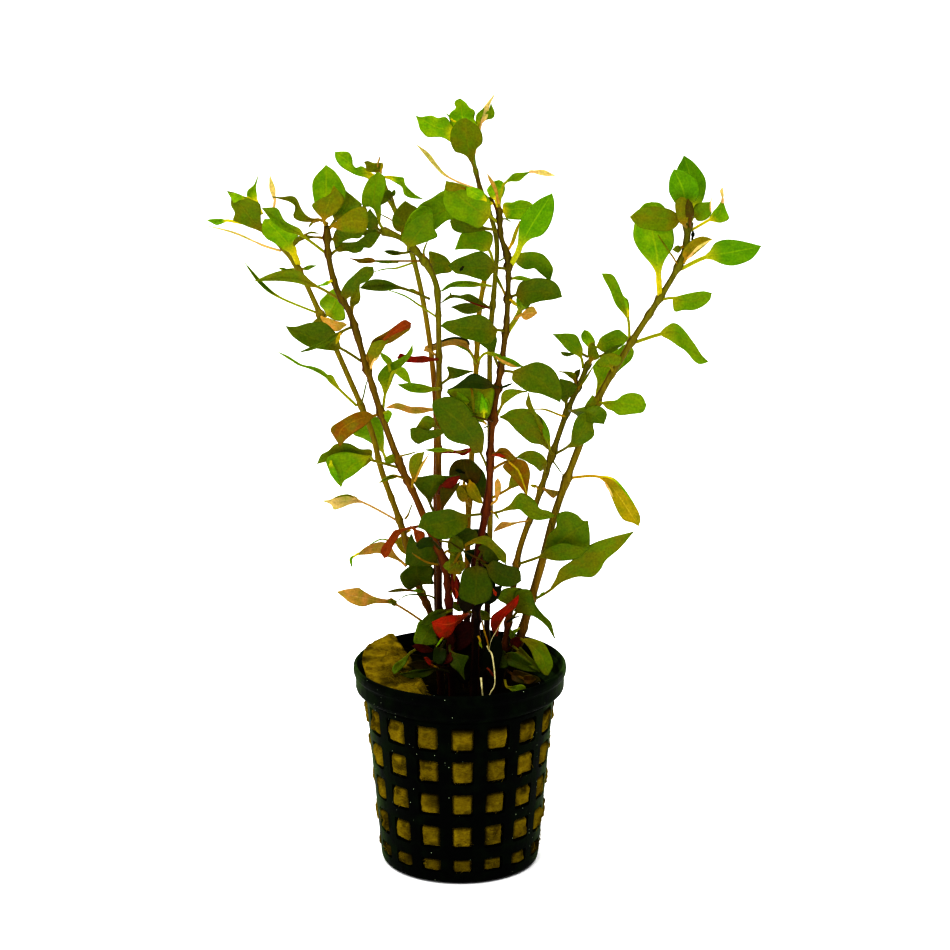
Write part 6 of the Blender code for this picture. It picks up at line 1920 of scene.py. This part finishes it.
# The long root over the wool, the short one beside it, and a thread.
ROOTS: list[Root] = [
    Root(0.24, path(
        "487,646,-9 489,650,-10 492,655,-11 494,668,-13 495,680,-15 494,687,-16 491,692,-17 488,699,-17")),
    Root(0.32, path("481,678,-15 481.5,683,-16 482,689,-17 483,698,-17")),
    Root(0.1, path("503,620,-11 497,630,-10 491,641,-10 489,652,-10")),
]


@dataclass(frozen=True)
class Studio:
    """Plain soft light from above and in front, over a plain pale floor. Lengths are in metres."""

    floor_tone: str = "#ffffff"
    floor_reach: float = 4.0
    floor_drop: float = 0.0004
    world_strength: float = 0.35

    def add_floor(self) -> None:
        """Adds the floor: one matt white square, a little under the pot's foot."""
        reach, low = self.floor_reach, -self.floor_drop
        mesh = bpy.data.meshes.new("floor")
        corners = [(-reach, -reach, low), (reach, -reach, low), (reach, reach, low), (-reach, reach, low)]
        mesh.from_pydata(corners, [], [(0, 1, 2, 3)])
        floor = bpy.data.objects.new("floor", mesh)
        bpy.context.scene.collection.objects.link(floor)
        paper = bpy.data.materials.new("studio_paper")
        paper.use_nodes = True
        shader = paper.node_tree.nodes["Principled BSDF"]
        shader.inputs["Base Color"].default_value = srgb(self.floor_tone)
        shader.inputs["Roughness"].default_value = 0.9
        mesh.materials.append(paper)

    def add_world(self) -> None:
        """Adds the plain white world, and sets how the picture is developed."""
        world = bpy.data.worlds.new("studio")
        world.use_nodes = True
        sky = world.node_tree.nodes["Background"]
        sky.inputs["Color"].default_value = (1, 1, 1, 1)
        sky.inputs["Strength"].default_value = self.world_strength
        bpy.context.scene.world = world
        bpy.context.scene.view_settings.view_transform = "Standard"
        bpy.context.scene.view_settings.look = "High Contrast"

    def add_light(
        self, name: str, kind: str, place: tuple[float, ...], turn: tuple[float, ...], **settings: float
    ) -> None:
        """Adds a light.

        Args:
            name: its name.
            kind: its type.
            place: where it hangs.
            turn: how it is turned, in degrees.
            settings: its other settings.
        """
        data = bpy.data.lights.new(name, kind)
        for setting, value in settings.items():
            setattr(data, setting, value)
        lamp = bpy.data.objects.new(name, data)
        lamp.location = place
        lamp.rotation_euler = [math.radians(angle) for angle in turn]
        bpy.context.scene.collection.objects.link(lamp)

    def build(self) -> None:
        """Adds the floor, the world and three lights."""
        self.add_floor()
        self.add_world()
        self.add_light("overhead_softbox", "AREA", (0.05, 0.25, 0.75), (-18, 4, 0), size=0.8, energy=4.0)
        self.add_light("front_softbox", "AREA", (-0.5, -0.8, 0.7), (52, 0, -32), size=0.5, energy=2.5)
        self.add_light("ceiling", "SUN", (0, 0, 0), (8, -10, 0), angle=math.radians(70), energy=3.0)


def main() -> None:
    """Builds the part in order, then its studio."""
    logging.basicConfig(level=logging.INFO, format="%(name)s: %(message)s")
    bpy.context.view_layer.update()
    VIEW.add_camera()
    pot = NetPot()
    pot.build(MouldedPolypropylene())
    RockWool(pot).build(WetRockWool())
    skins = {age: age.value.material(f"leaf_{age.name.lower()}") for age in Age}
    for shoot in SHOOTS:
        shoot.build(LARGE_LEAVES[shoot.name], SMALL_LEAVES[shoot.name], skins)
    pale = RootSkin()
    roots = Surface.joined([root.surface() for root in ROOTS])
    hand_over(roots.add_object("pale_roots", [pale.material("pale_root_skin")]), "root")
    Studio().build()


if __name__ == "__main__":
    main()
